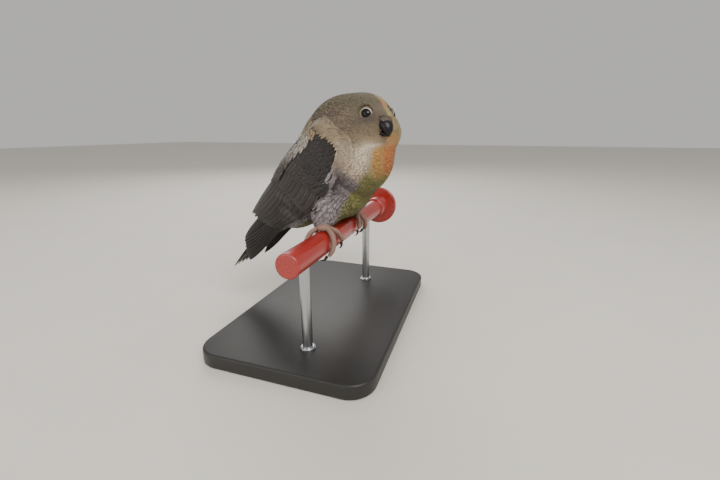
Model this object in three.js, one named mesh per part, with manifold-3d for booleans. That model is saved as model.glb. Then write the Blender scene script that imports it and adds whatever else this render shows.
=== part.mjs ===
import * as THREE from "three";
import { mergeVertices } from "three/addons/utils/BufferGeometryUtils.js";
import Module from "manifold-3d";

// A peach faced lovebird, life size, at rest on a cut length of plastic perch on a plain stand.
// Millimetres, +Z up. The perch runs along X, the bird looks towards -Y, and its right side is at -X.
// The origin is under the bird, on the underside of the base.

// Driving dimensions
const PERCH_HEIGHT = 58; // perch axis above the floor
const PERCH_RADIUS = 6;
const PERCH_NEAR = -62; // where the perch is cut, at the bird's right
const PERCH_FAR = 84; // outer face of its end stop, at the bird's left
const STOP_RADIUS = 14;
const STOP_THICKNESS = 3.6;
const COLLAR_RADIUS = 7.4;
const COLLAR_LENGTH = 13;
const BASE_SIZE = [146, 94, 8]; // length, depth and thickness of the stand's base
const BASE_SHIFT = [6, 8]; // how far its middle lies from the bird's feet
const ROD_RADIUS = 2.6;
const ROD_PLACES = [-46, 50]; // where the stand's rods meet the perch
const GAP = 0.3; // clearance between pieces
const BODY_YAW = 3; // degrees that the whole bird is turned towards its right
const HEAD_YAW = 42; // degrees that the head is turned further
const EYES = [24.9, -4, 63.8]; // middle between the eyes: forward, left and up of the perch axis
const EYE_RADIUS = 3.3;
const EYE_REACH = 6.5; // from the middle of the head to the middle of an eyeball
const EYE_BACK = 1; // how far behind the middle between the eyes' outer faces an eyeball lies
const EYE_LEAD = 30; // degrees that the eyes point forward of sideways
const LID_RADIUS = 2.9; // middle of the raised ring of lids
const LID_GIRTH = 0.8;
const FEET = [-23, 19]; // the feet along the perch, right then left
const TOE_ROOM = 4.2; // how far toes and claws stand off the perch at most
const TOE_SPREAD = 10; // how far a front toe's end lies to the side of its foot
const BLEND = 2.6; // how softly the masses of the body run into each other
const BODY_CELL = 4; // size of the body's faces
const HEAD_CELL = 2.8; // size of the head's faces
const VANE = 0.55; // thickness of a feather's vane
const SLANT = 0.9; // how much the upper edge of a feather stands over its lower one
const WELD = 1e-3; // points closer than this become one
const FINE = 1e-4; // points closer than this are the same point

const wasm = await Module();
wasm.setup();

const radians = THREE.MathUtils.degToRad;
const lerp = THREE.MathUtils.lerp;

// Frames of the bird

// A place on the bird: forward, left and up from the perch axis between its feet.
function at(forward, left, up) {
  const yaw = radians(-BODY_YAW);
  const x = left * Math.cos(yaw) + forward * Math.sin(yaw);
  const y = left * Math.sin(yaw) - forward * Math.cos(yaw);
  return new THREE.Vector3(x, y, up + PERCH_HEIGHT);
}

const feet = at(0, 0, 0);

// A direction on the bird, pitched above forward and turned to the left of it.
function heading(pitch, turn = 0) {
  const p = radians(pitch);
  const t = radians(turn);
  return at(Math.cos(p) * Math.cos(t), Math.cos(p) * Math.sin(t), Math.sin(p)).sub(feet);
}

// A place on the head, measured from the middle between the eyes along the way that the bill points.
function onHead(forward, left, up) {
  const turn = radians(-HEAD_YAW);
  return at(
    EYES[0] + forward * Math.cos(turn) - left * Math.sin(turn),
    EYES[1] + forward * Math.sin(turn) + left * Math.cos(turn),
    EYES[2] + up,
  );
}

// The body's outer surface

// One rounded mass of the body: its middle, the way it points, and its half length, depth and width.
function mass(middle, pitch, turn, along, deep, wide) {
  const x = heading(pitch, turn);
  const z = heading(pitch + 90, turn);
  const y = new THREE.Vector3().crossVectors(z, x);
  return { middle, axes: [x, y, z], radii: [along, wide, deep] };
}

const trunk = (f, l, u, pitch, along, deep, wide, turn = 0) =>
  mass(at(f, l, u), pitch, turn, along, deep, wide);
const skull = (f, l, u, pitch, along, deep, wide, turn = 0) =>
  mass(onHead(f, l, u), pitch, turn - HEAD_YAW, along, deep, wide);

const bodyMasses = [
  trunk(-8.5, 0, 37, 50, 29.5, 20, 18),
  trunk(16.5, -1, 40, 68, 17, 14, 19),
  trunk(5, 0, 21, 40, 14, 11, 15),
  trunk(-1, 13, 15, 60, 9, 7.5, 7),
  trunk(-1, -14, 15, 60, 9, 7.5, 7),
  trunk(-20, 0, 11, 35, 16, 8, 11),
  trunk(-34, 0, 20, 50, 23, 9, 11),
  trunk(-38, 0, 5, 44, 15, 5.5, 8),
  trunk(0.5, 0, 55, 55, 20, 16.5, 16),
];
const headMasses = [
  skull(-10, 0, -2, -20, 14, 8.8, 9.4),
  skull(-15, -1, -4, 20, 16, 14, 13),
  skull(-4.5, 6, -9, 0, 7, 6.5, 8),
  skull(-4.5, -6, -9, 0, 7, 6.5, 8),
  skull(2.2, 0, -2.6, -25, 3.4, 3, 3.6),
];
const masses = [...bodyMasses, ...headMasses];
// The folded wings lie on the body, over the thighs, and past the body's end over the tail.
const bedMasses = [
  ...masses,
  trunk(-7, 0, 22, 50, 24, 15, 20),
  trunk(-50, 0, -2, 50, 36, 10.5, 10.5),
];

const away = new THREE.Vector3();
// Roughly the distance from the surface of joined masses: negative inside.
function field(p, joined = masses) {
  let sum = 0;
  for (const m of joined) {
    away.subVectors(p, m.middle);
    let near = 0;
    let steep = 0;
    for (let i = 0; i < 3; i++) {
      const q = (away.dot(m.axes[i]) / m.radii[i]) ** 2;
      near += q;
      steep += q / m.radii[i] ** 2;
    }
    near = Math.sqrt(near);
    steep = Math.sqrt(steep);
    const d = steep > 1e-9 ? (near * (near - 1)) / steep : -Math.min(...m.radii);
    sum += Math.exp(-d / BLEND);
  }
  return -BLEND * Math.log(sum);
}

const PROBE = 0.05; // how far apart the field is read for its slope
// Draws a point onto the body's surface, or onto the one a given height above it.
function settle(p, height = 0, rounds = 3) {
  const probe = new THREE.Vector3();
  const slope = new THREE.Vector3();
  for (let round = 0; round < rounds; round++) {
    for (const axis of ["x", "y", "z"]) {
      probe.copy(p);
      probe[axis] += PROBE;
      const high = field(probe);
      probe[axis] -= 2 * PROBE;
      slope[axis] = (high - field(probe)) / (2 * PROBE);
    }
    p.addScaledVector(slope, (height - field(p)) / slope.lengthSq());
  }
  return p;
}

// Solids from points and faces

function solid(points, faces) {
  const make = (order) =>
    new wasm.Manifold(
      new wasm.Mesh({
        numProp: 3,
        vertProperties: new Float32Array(points.flatMap((p) => [p.x, p.y, p.z])),
        triVerts: new Uint32Array(order),
      }),
    );
  const made = make(faces);
  return made.volume() > 0 ? made : make([...faces].reverse());
}

function fromGeometry(geometry, matrix = new THREE.Matrix4()) {
  const bare = geometry.clone().applyMatrix4(matrix);
  bare.deleteAttribute("normal");
  bare.deleteAttribute("uv");
  const welded = mergeVertices(bare, WELD);
  const position = welded.getAttribute("position");
  const points = [];
  for (let i = 0; i < position.count; i++) {
    points.push(new THREE.Vector3().fromBufferAttribute(position, i));
  }
  const index = welded.getIndex().array;
  const faces = [];
  for (let i = 0; i < index.length; i += 3) {
    const [a, b, c] = [index[i], index[i + 1], index[i + 2]];
    if (a !== b && b !== c && c !== a) faces.push(a, b, c);
  }
  return solid(points, faces);
}

function toGeometry(manifold) {
  const mesh = manifold.getMesh();
  const geometry = new THREE.BufferGeometry();
  geometry.setAttribute("position", new THREE.BufferAttribute(mesh.vertProperties.slice(), 3));
  geometry.setIndex(new THREE.BufferAttribute(mesh.triVerts.slice(), 1));
  return geometry;
}

const joinAll = (parts) => parts.reduce((a, b) => a.add(b));

// The largest closed body of a solid.
function largest(manifold) {
  const bodies = manifold.decompose();
  bodies.sort((a, b) => b.volume() - a.volume());
  return bodies[0];
}

// A solid's largest body, with points that lie within WELD of each other made one.
function welded(manifold) {
  let neat = largest(manifold);
  for (let bodies = 2; bodies > 1; ) {
    const again = fromGeometry(toGeometry(neat));
    bodies = again.decompose().length;
    neat = largest(again);
  }
  return neat;
}

// Whether more than two faces of a solid meet at one edge.
function pinched(manifold) {
  const { vertProperties, triVerts } = manifold.getMesh();
  const key = (v) => [0, 1, 2].map((k) => Math.round(vertProperties[3 * v + k] / FINE)).join();
  const faces = new Map();
  for (let i = 0; i < triVerts.length; i += 3) {
    const corners = [0, 1, 2].map((k) => key(triVerts[i + k]));
    if (new Set(corners).size < 3) continue;
    corners.forEach((corner, k) => {
      const edge = [corner, corners[(k + 1) % 3]].sort().join(" ");
      faces.set(edge, (faces.get(edge) ?? 0) + 1);
    });
  }
  return [...faces.values()].some((count) => count > 2);
}

// Evens out the faces of a skin: each point goes to the middle of its neighbours, then back down.
function relax(points, quads, height, rounds = 3) {
  for (let round = 0; round < rounds; round++) {
    const sums = points.map(() => new THREE.Vector4(0, 0, 0, 0));
    for (const quad of quads)
      quad.forEach((a, n) => {
        const b = points[quad[(n + 1) % 4]];
        sums[a].add(new THREE.Vector4(b.x, b.y, b.z, 1));
      });
    points.forEach((p, n) => {
      if (p.fixed) return;
      const { x, y, z, w } = sums[n];
      settle(p.set(x / w, y / w, z / w), height, 2);
    });
  }
}

// Skins the body inside a box with nearly square faces, at a height above its surface.
function skin(low, high, cell, height = 0) {
  const size = ["x", "y", "z"].map((k) => Math.ceil((high[k] - low[k]) / cell) + 1);
  const values = new Float32Array(size[0] * size[1] * size[2]);
  const index = (i, j, k) => (k * size[1] + j) * size[0] + i;
  for (let k = 0; k < size[2]; k++)
    for (let j = 0; j < size[1]; j++)
      for (let i = 0; i < size[0]; i++) {
        const edge = [i, j, k].some((v, n) => v === 0 || v === size[n] - 1);
        const p = new THREE.Vector3(i, j, k).multiplyScalar(cell).add(low);
        values[index(i, j, k)] = edge ? cell : field(p) - height;
      }
  const corners = [...Array(8).keys()].map((c) => [c & 1, (c >> 1) & 1, c >> 2]);
  const points = [];
  const pointOf = new Map();
  for (let k = 0; k < size[2] - 1; k++)
    for (let j = 0; j < size[1] - 1; j++)
      for (let i = 0; i < size[0] - 1; i++) {
        const v = corners.map(([a, b, c]) => values[index(i + a, j + b, k + c)]);
        const inside = v.filter((x) => x < 0).length;
        if (inside === 0 || inside === 8) continue;
        const p = new THREE.Vector3();
        let crossings = 0;
        for (let a = 0; a < 8; a++)
          for (let bit = 1; bit < 8; bit <<= 1) {
            const b = a | bit;
            if (b === a || v[a] < 0 === v[b] < 0) continue;
            const t = v[a] / (v[a] - v[b]);
            p.x += i + lerp(corners[a][0], corners[b][0], t);
            p.y += j + lerp(corners[a][1], corners[b][1], t);
            p.z += k + lerp(corners[a][2], corners[b][2], t);
            crossings++;
          }
        p.multiplyScalar(cell / crossings).add(low);
        pointOf.set(index(i, j, k), points.length);
        p.fixed = [i, j, k].some((q, n) => q === 0 || q === size[n] - 2);
        points.push(p.fixed ? p : settle(p, height));
      }
  const faces = [];
  const quads = [];
  for (let k = 0; k < size[2] - 1; k++)
    for (let j = 0; j < size[1] - 1; j++)
      for (let i = 0; i < size[0] - 1; i++)
        for (let a = 0; a < 3; a++) {
          const next = [i, j, k];
          if (next[(a + 1) % 3] === 0 || next[(a + 2) % 3] === 0) continue;
          next[a]++;
          const here = values[index(i, j, k)] < 0;
          if (here === values[index(...next)] < 0) continue;
          const quad = [[0, 0], [1, 0], [1, 1], [0, 1]].map(([s, t]) => {
            const q = [i, j, k];
            q[(a + 1) % 3] -= s;
            q[(a + 2) % 3] -= t;
            return pointOf.get(index(...q));
          });
          if (!here) quad.reverse();
          quads.push(quad.reverse());
        }
  relax(points, quads, height);
  for (const [a, b, c, d] of quads) {
    const even = points[a].distanceTo(points[c]) <= points[b].distanceTo(points[d]);
    faces.push(...(even ? [a, b, c, a, c, d] : [a, b, d, b, c, d]));
  }
  return solid(points, faces);
}

// Joins rings of points, all of one length, into a closed solid.
function loft(rings) {
  const n = rings[0].length;
  const faces = [];
  for (let i = 0; i + 1 < rings.length; i++)
    for (let j = 0; j < n; j++) {
      const a = i * n + j;
      const b = i * n + ((j + 1) % n);
      faces.push(a, b, b + n, a, b + n, a + n);
    }
  const last = (rings.length - 1) * n;
  for (let j = 1; j + 1 < n; j++) {
    faces.push(0, j + 1, j, last, last + j, last + j + 1);
  }
  return solid(rings.flat(), faces);
}

// A round tapered limb along a line of places with a radius at each.
function limb(places, radiiAlong, sides = 7) {
  const rings = places.map((p, i) => {
    const before = places[Math.max(i - 1, 0)];
    const after = places[Math.min(i + 1, places.length - 1)];
    const along = new THREE.Vector3().subVectors(after, before).normalize();
    const across = new THREE.Vector3(1, 0, 0).addScaledVector(along, -along.x).normalize();
    const up = new THREE.Vector3().crossVectors(along, across);
    return [...Array(sides).keys()].map((k) => {
      const turn = (2 * Math.PI * k) / sides;
      return p
        .clone()
        .addScaledVector(across, radiiAlong[i] * Math.cos(turn))
        .addScaledVector(up, radiiAlong[i] * Math.sin(turn));
    });
  });
  return loft(rings);
}

// A feather's vane: a thin closed strip. place(t, side, height) gives a point t along it, at a part of
// its half width to a side. Its two faces are split alike.
function vane(place, widths, sides = [-1, 1]) {
  const n = sides.length;
  const points = [];
  widths.forEach((width, i) => {
    const t = i / (widths.length - 1);
    points.push(...sides.map((side) => place(t, side * width, 0)));
    points.push(...[...sides].reverse().map((side) => place(t, side * width, -VANE)));
  });
  const faces = [];
  for (let i = 0; i + 1 < widths.length; i++)
    for (let j = 0; j < 2 * n; j++) {
      const a = i * 2 * n + j;
      const b = i * 2 * n + ((j + 1) % (2 * n));
      const [c, d] = [a + 2 * n, b + 2 * n];
      const under = j >= n && j < 2 * n - 1;
      faces.push(...(under ? [a, b, c, b, d, c] : [a, b, d, a, d, c]));
    }
  const end = (widths.length - 1) * 2 * n;
  for (let j = 0; j + 1 < n; j++) {
    const [a, b, c, d] = [j, j + 1, 2 * n - 2 - j, 2 * n - 1 - j];
    faces.push(a, d, c, a, c, b);
    faces.push(end + a, end + c, end + d, end + a, end + b, end + c);
  }
  return solid(points, faces);
}

// The bird and its pieces
const bird = new THREE.Group();
function add(name, manifold, colour, roughness = 0.85) {
  const neat = welded(manifold);
  const material = new THREE.MeshStandardMaterial({ color: colour, roughness, metalness: 0 });
  const made = new THREE.Mesh(toGeometry(neat), material);
  made.name = name;
  bird.add(made);
}

const COLOUR = {
  crown: 0x8f8371,
  nape: 0xa39b8c,
  flank: 0x8f8a94,
  belly: 0x9a9a55,
  wing: 0x4c4c55,
  leftWing: 0x4f5a3c,
  tail: 0x2c2e38,
  bill: 0x2a2430,
  cere: 0xa79a92,
  eye: 0x14100e,
  foot: 0x9c857c,
  claw: 0x2b2624,
  perch: 0xc8352d,
  base: 0x2b2a29,
  rod: 0xb9bcc0,
};

const FAR = 400;
// A flat cut, one gap wide, across the way that it faces.
function cut(middle, pitch, turn = 0) {
  const x = heading(pitch, turn);
  const z = heading(pitch + 90, turn);
  const y = new THREE.Vector3().crossVectors(z, x);
  const matrix = new THREE.Matrix4().makeBasis(x, y, z).setPosition(middle);
  return fromGeometry(new THREE.BoxGeometry(GAP, FAR, FAR), matrix);
}
// Everything on the far side of such a cut.
function beyond(middle, pitch, turn = 0) {
  const x = heading(pitch, turn);
  const z = heading(pitch + 90, turn);
  const y = new THREE.Vector3().crossVectors(z, x);
  const centre = middle.clone().addScaledVector(x, (FAR + GAP) / 2);
  const matrix = new THREE.Matrix4().makeBasis(x, y, z).setPosition(centre);
  return fromGeometry(new THREE.BoxGeometry(FAR, FAR, FAR), matrix);
}

const ball = (middle, radius, detail = 12) =>
  fromGeometry(
    new THREE.SphereGeometry(radius, detail, Math.ceil(detail / 2)),
    new THREE.Matrix4().setPosition(middle),
  );

// Body and head
const bodyLow = new THREE.Vector3(-38, -46, PERCH_HEIGHT - 18);
const bodyHigh = new THREE.Vector3(38, 72, PERCH_HEIGHT + 84);
const headLow = new THREE.Vector3(-30, -40, PERCH_HEIGHT + 38);
const headHigh = new THREE.Vector3(26, 26, PERCH_HEIGHT + 84);
const throat = [at(9, 0, 54), 66, -16];
const collar = [at(0, 0, 44), 56, -6];
const saddle = [at(-30, 0, 17), 50, 0];
const midline = [at(6, 9, 26), -10, 62];
// Solids a little larger than the body and the head, to cut what meets them. Their faces are flat
// between points on the curve, so they have some more room than the gap.
const BODY_ROOM = 0.25;
const HEAD_ROOM = 0.1;
const clear = skin(bodyLow, bodyHigh, BODY_CELL, GAP + BODY_ROOM);
const clearHead = skin(headLow, headHigh, HEAD_CELL, GAP + HEAD_ROOM);
const alongPerch = (radius) =>
  fromGeometry(
    new THREE.CylinderGeometry(radius, radius, FAR, 24),
    new THREE.Matrix4().makeRotationZ(Math.PI / 2).setPosition(0, 0, PERCH_HEIGHT),
  );
const perchRoom = alongPerch(PERCH_RADIUS + GAP);
const toeRoom = alongPerch(PERCH_RADIUS + TOE_ROOM);

const whole = skin(bodyLow, bodyHigh, BODY_CELL).subtract(perchRoom);
const below = whole.subtract(beyond(...throat)).subtract(cut(...throat));
const neck = below.intersect(beyond(...collar));
const trunkSolid = below.subtract(beyond(...collar)).subtract(cut(...collar));
const chest = trunkSolid.intersect(beyond(...saddle));
const rump = trunkSolid.subtract(beyond(...saddle)).subtract(cut(...saddle));
const belly = chest.intersect(beyond(...midline));
const torso = chest.subtract(beyond(...midline)).subtract(cut(...midline));
add("neck", neck, COLOUR.nape);
add("torso", torso, COLOUR.flank);
add("belly", belly, COLOUR.belly);
add("rump", rump, COLOUR.flank);

// Eyes, each in its socket behind a raised ring of lids
let head = skin(headLow, headHigh, HEAD_CELL).intersect(beyond(...throat));
for (const [name, side] of [["right", -1], ["left", 1]]) {
  const lead = radians(EYE_LEAD);
  const centre = onHead(-EYE_BACK, side * EYE_REACH, 0);
  const aside = side * (EYE_REACH + Math.cos(lead));
  const outward = onHead(Math.sin(lead) - EYE_BACK, aside, 0).sub(centre);
  const turned = new THREE.Quaternion().setFromUnitVectors(new THREE.Vector3(0, 0, 1), outward);
  const ringPlace = centre.clone().addScaledVector(outward, EYE_RADIUS * 0.6);
  const ring = new THREE.Matrix4().compose(ringPlace, turned, new THREE.Vector3(1, 1, 1));
  const lids = fromGeometry(new THREE.TorusGeometry(LID_RADIUS, LID_GIRTH, 5, 12), ring);
  head = head.add(lids).subtract(ball(centre, EYE_RADIUS + GAP, 14));
  add(`eye_${name}`, ball(centre, EYE_RADIUS, 14), COLOUR.eye, 0.1);
}
add("head", head, COLOUR.crown);

// Bill: rings along its ridge, each given by its top and bottom in the head's plane and its width
function billPart(rows, raise = 0) {
  const sides = 12;
  const rings = rows.map(([topF, topU, lowF, lowU, half]) =>
    [...Array(sides).keys()].map((k) => {
      const turn = (2 * Math.PI * (k + 0.5)) / sides;
      const across = Math.sin(turn);
      const t = (1 - Math.cos(turn)) / 2;
      const squared = Math.sign(across) * Math.abs(across) ** 0.8;
      return onHead(lerp(topF, lowF, t), half * squared, lerp(topU, lowU, t) + raise);
    }),
  );
  return loft(rings);
}
const UPPER_BILL = [
  [2.6, -1.6, 1.4, -6.8, 3.8],
  [6.2, -2.1, 4.4, -7.2, 4.0],
  [8.3, -3.1, 5.9, -7.6, 3.6],
  [9.6, -4.8, 6.7, -8.2, 3.0],
  [10.2, -6.8, 7.6, -8.9, 2.3],
  [10.0, -8.5, 8.3, -9.5, 1.5],
  [9.6, -9.7, 8.8, -10.1, 0.8],
  [9.3, -10.5, 9.0, -10.6, 0.25],
];
const LOWER_BILL = [
  [1.6, -7.4, 1.6, -10.4, 3.4],
  [4.3, -7.8, 4.0, -10.6, 3.1],
  [6.2, -8.3, 5.7, -10.6, 2.5],
  [7.3, -9.0, 7.0, -10.4, 1.6],
];
const upperBill = billPart(UPPER_BILL);
const lowerBill = billPart(LOWER_BILL);
const cereBand = (extra) =>
  billPart([
    [5.4 - extra, 0.4 + extra, 4.4, -3.6, 3.2 + extra],
    [7.1, -0.2 + extra, 5.8, -3.6, 3.6 + extra],
    [8.2 + extra, -1.9 + extra / 2, 7.0 + extra, -3.6, 3.2 + extra],
  ]);
let cere = cereBand(0);
for (const side of [-1, 1]) cere = cere.subtract(ball(onHead(7.6, side * 1.8, -1.0), 0.6, 8));
add("cere", cere.subtract(clearHead).subtract(billPart(UPPER_BILL, GAP)), COLOUR.cere, 0.6);
add("bill_upper", upperBill.subtract(clearHead).subtract(cereBand(GAP)), COLOUR.bill, 0.35);
const mouth = upperBill.add(billPart(UPPER_BILL, -GAP));
add("bill_lower", lowerBill.subtract(clearHead).subtract(mouth), COLOUR.bill, 0.4);

// Legs: a palm on the perch and a feathered shank up into the body, either with room around it
const PALM = { radii: [3.4, 3.8, 2.2], lift: 1.6 };
const SHANK = { ankle: 3, knee: 0.4, hip: [0.72, 1.5, 20], radii: [2.4, 3.5, 4.2] };
function palm(x, room = 0) {
  const place = new THREE.Matrix4()
    .makeScale(...PALM.radii.map((r) => r + room))
    .setPosition(x, 0, PERCH_HEIGHT + PERCH_RADIUS + GAP + PALM.lift);
  return fromGeometry(new THREE.SphereGeometry(1, 10, 7), place);
}
function shank(x, room = 0) {
  const ankle = new THREE.Vector3(x, 0, PERCH_HEIGHT + PERCH_RADIUS + GAP + SHANK.ankle - room);
  const [inward, back, up] = SHANK.hip;
  const hip = new THREE.Vector3(x * inward, back, PERCH_HEIGHT + up);
  const knee = ankle.clone().lerp(hip, SHANK.knee);
  return limb([ankle, knee, hip], SHANK.radii.map((r) => r + room));
}

// Folded wings and tail: places on the bed are given along the body's line from the shoulders to the
// tail, around it from the back over the side, and above it.
const LINE = { from: [-3, 50], pitch: 52, least: 1.5, most: 46 };
function onBed(side, along, around, height) {
  const p = radians(LINE.pitch);
  const middle = [LINE.from[0] - Math.cos(p) * along, LINE.from[1] - Math.sin(p) * along];
  const a = radians(around);
  const place = (r) =>
    at(
      middle[0] - Math.sin(p) * r * Math.cos(a),
      side * r * Math.sin(a),
      middle[1] + Math.cos(p) * r * Math.cos(a),
    );
  let outer = LINE.most;
  let inner = LINE.least;
  for (let halving = 0; halving < 18; halving++) {
    const r = (outer + inner) / 2;
    if (field(place(r), bedMasses) > 0) outer = r;
    else inner = r;
  }
  return place((outer + inner) / 2 + GAP + height);
}

const reach = (side, along, around) => {
  const p = radians(LINE.pitch);
  const middle = at(
    LINE.from[0] - Math.cos(p) * along,
    0,
    LINE.from[1] - Math.sin(p) * along,
  );
  return onBed(side, along, around, 0).distanceTo(middle);
};

// How much of its height a wing has along the body: it rises out of the shoulder's plumage.
const RISE = { from: 2, to: 32, least: 0.32 };
const rise = (along) => lerp(RISE.least, 1, THREE.MathUtils.smoothstep(along, RISE.from, RISE.to));

// A vane on the bed from one place to another, its lower edge lifted over the next one's.
function bedVane(side, from, to, width, height, widths) {
  return vane((t, part, lift) => {
    const along = lerp(from[0], to[0], t);
    const around = lerp(from[1], to[1], t);
    const half = width / 2 / reach(side, along, around);
    const turn = around + (part * half * 180) / Math.PI;
    return onBed(side, along, turn, (height + SLANT * part) * rise(along) + lift);
  }, widths);
}

const FLIGHT = [0.7, 1, 0.95, 0.25];
const COVERT = [0.7, 1, 0.35];
// Each tier: how many feathers, where the lowest and the highest one start and end, and their size
const tiers = [
  { count: 4, roots: [[30, 138], [36, 102]], tips: [[90, 92], [76, 58]], width: 7.5, height: 2 },
  { count: 6, roots: [[19, 137], [18, 46]], tips: [[56, 122], [64, 38]], width: 9.5, height: 2.8 },
  { count: 5, roots: [[12, 137], [11, 50]], tips: [[33, 139], [37, 42]], width: 11, height: 3.7 },
  { count: 4, roots: [[4, 132], [5, 62]], tips: [[18, 138], [21, 50]], width: 12, height: 4.6 },
];
const LIFT = 0.015; // how much each feather is raised over the last where their edges would meet
const TRIES = 12;

// The arm: a patch of the bed under the roots of the feathers, from its front end to its hind one.
// top and bottom are its edges around the bed, and under is how far its inner face lies off it.
const ARM = { along: [-4, 28], top: [66, 40], bottom: [124, 138], thick: 3.9, ends: 1.9, under: 0.5 };
function arm(side) {
  const rows = 7;
  const columns = 8;
  const rings = [];
  for (let i = 0; i < rows; i++) {
    const t = i / (rows - 1);
    const along = lerp(...ARM.along, t);
    const ends = i === 0 || i === rows - 1;
    const top = lerp(...ARM.top, Math.sqrt(t));
    const bottom = lerp(...ARM.bottom, Math.sqrt(t));
    const thick = ARM.under + (ends ? ARM.ends : ARM.thick) * rise(along);
    const ring = [];
    for (let j = 0; j < columns; j++) {
      const edge = j === 0 || j === columns - 1;
      const around = lerp(bottom, top, j / (columns - 1));
      ring.push(onBed(side, along, around, edge ? lerp(ARM.under, thick, 0.4) : thick));
    }
    for (let j = columns - 1; j >= 0; j--) {
      ring.push(onBed(side, along, lerp(bottom, top, j / (columns - 1)), ARM.under));
    }
    rings.push(ring);
  }
  return loft(rings);
}

function wing(side, lift) {
  const parts = [arm(side)];
  for (const tier of tiers)
    for (let i = 0; i < tier.count; i++) {
      const t = i / (tier.count - 1);
      const mix = (pair) => [lerp(pair[0][0], pair[1][0], t), lerp(pair[0][1], pair[1][1], t)];
      const [root, tip] = [mix(tier.roots), mix(tier.tips)];
      const shape = tier.height < 3 ? FLIGHT : COVERT;
      parts.push(bedVane(side, root, tip, tier.width, tier.height + lift * i, shape));
    }
  const x = FEET[(side + 1) / 2];
  return welded(joinAll(parts).subtract(joinAll([clear, shank(x, GAP), palm(x, GAP), toeRoom])));
}

for (const [name, side] of [["right", -1], ["left", 1]]) {
  let made = wing(side, 0);
  for (let n = 1; n < TRIES && pinched(made); n++) made = wing(side, n * LIFT);
  add(`wing_${name}`, made, side < 0 ? COLOUR.wing : COLOUR.leftWing);
}

// Tail: twelve feathers in a fan, the middle pair longest and on top
// spread is the turn of the outer feathers in degrees, and layer how far one lies under the next.
const TAIL = {
  root: [-44, 8],
  pitch: -131,
  length: 53,
  taper: 0.3,
  spread: 10,
  count: 12,
  half: 3.4,
  layer: 0.62,
};
const tailFeathers = [];
for (let i = 0; i < TAIL.count; i++) {
  const side = i < TAIL.count / 2 ? -1 : 1;
  const rank = i < TAIL.count / 2 ? i : TAIL.count - 1 - i;
  const out = 1 - rank / (TAIL.count / 2 - 1);
  const length = TAIL.length * (1 - TAIL.taper * out ** 1.4);
  const turn = radians(side * (1.2 + TAIL.spread * out));
  const p = radians(TAIL.pitch);
  tailFeathers.push(
    vane(
      (t, part, lift) => {
        const s = t * length;
        const across = part * side * TAIL.half;
        const f = s * Math.cos(turn) - across * Math.sin(turn);
        const l = side * 0.8 + s * Math.sin(turn) + across * Math.cos(turn);
        const under = TAIL.count / 2 - 1 - rank;
        const level = -TAIL.layer * under + 0.3 * part - 0.03 * l * l + lift;
        return at(
          TAIL.root[0] + f * Math.cos(p) + level * Math.sin(p),
          l,
          TAIL.root[1] + f * Math.sin(p) - level * Math.cos(p),
        );
      },
      [0.7, 1, 1, 0.35],
    ),
  );
}
const tailRoot = limb([at(-43, 0, 9), at(-52, 0, -3)], [4.5, 4]);
add("tail", joinAll([tailRoot, ...tailFeathers]).subtract(clear), COLOUR.tail);

// Legs, feet and claws
const onPerch = (x, degrees, radius) =>
  new THREE.Vector3(
    x,
    -radius * Math.cos(radians(degrees)),
    PERCH_HEIGHT + radius * Math.sin(radians(degrees)),
  );
// Each toe: its name, where it ends around the perch and along it, and its thickness
const TOES = [
  ["outer", -40, 0.75, 1.6],
  ["inner", -8, -0.75, 1.5],
  ["hind_outer", 208, 0.8, 1.4],
  ["hind_inner", 166, -0.7, 1.3],
];
const TOE_STARTS = { front: 76, hind: 104 }; // degrees around the perch where toes leave the palm
const TOE_STEPS = 6;
const CLAW = { steps: 5, start: 9, sweep: 30, lift: 0.95, arch: 0.9, girth: 0.8, point: 0.12 };
for (const [name, side, x] of [["right", -1, FEET[0]], ["left", 1, FEET[1]]]) {
  let foot = palm(x);
  for (const [toe, end, spread, thick] of TOES) {
    const start = end > 90 ? TOE_STARTS.hind : TOE_STARTS.front;
    const places = [];
    const girth = [];
    for (let i = 0; i < TOE_STEPS; i++) {
      const t = i / (TOE_STEPS - 1);
      const knuckle = i % 2 ? 0.84 : 1;
      const radius = thick * lerp(1, 0.72, t) * knuckle;
      const shift = side * spread * TOE_SPREAD * t ** 0.8;
      const centre = PERCH_RADIUS + GAP + 0.2 + thick * lerp(1, 0.75, t);
      places.push(onPerch(x + shift, lerp(start, end, t), centre));
      girth.push(radius);
    }
    foot = foot.add(limb(places, girth));
    const onward = Math.sign(end - 90);
    const clawPlaces = [];
    const clawGirth = [];
    for (let i = 0; i < CLAW.steps; i++) {
      const t = i / (CLAW.steps - 1);
      const arch = CLAW.arch * Math.sin(Math.PI * t * 0.8) - 0.4 * t;
      const shift = side * spread * TOE_SPREAD * (1 + 0.06 * t);
      const turn = end + onward * (CLAW.start + CLAW.sweep * t);
      clawPlaces.push(onPerch(x + shift, turn, PERCH_RADIUS + GAP + CLAW.lift + arch));
      clawGirth.push(lerp(CLAW.girth, CLAW.point, t ** 1.2));
    }
    const claw = limb(clawPlaces, clawGirth, 6).subtract(perchRoom);
    add(`claw_${name}_${toe}`, claw, COLOUR.claw, 0.4);
  }
  add(`foot_${name}`, foot.subtract(perchRoom).subtract(clear), COLOUR.foot, 0.7);
  add(`leg_${name}`, shank(x).subtract(clear).subtract(palm(x, GAP)), COLOUR.flank);
}

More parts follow.
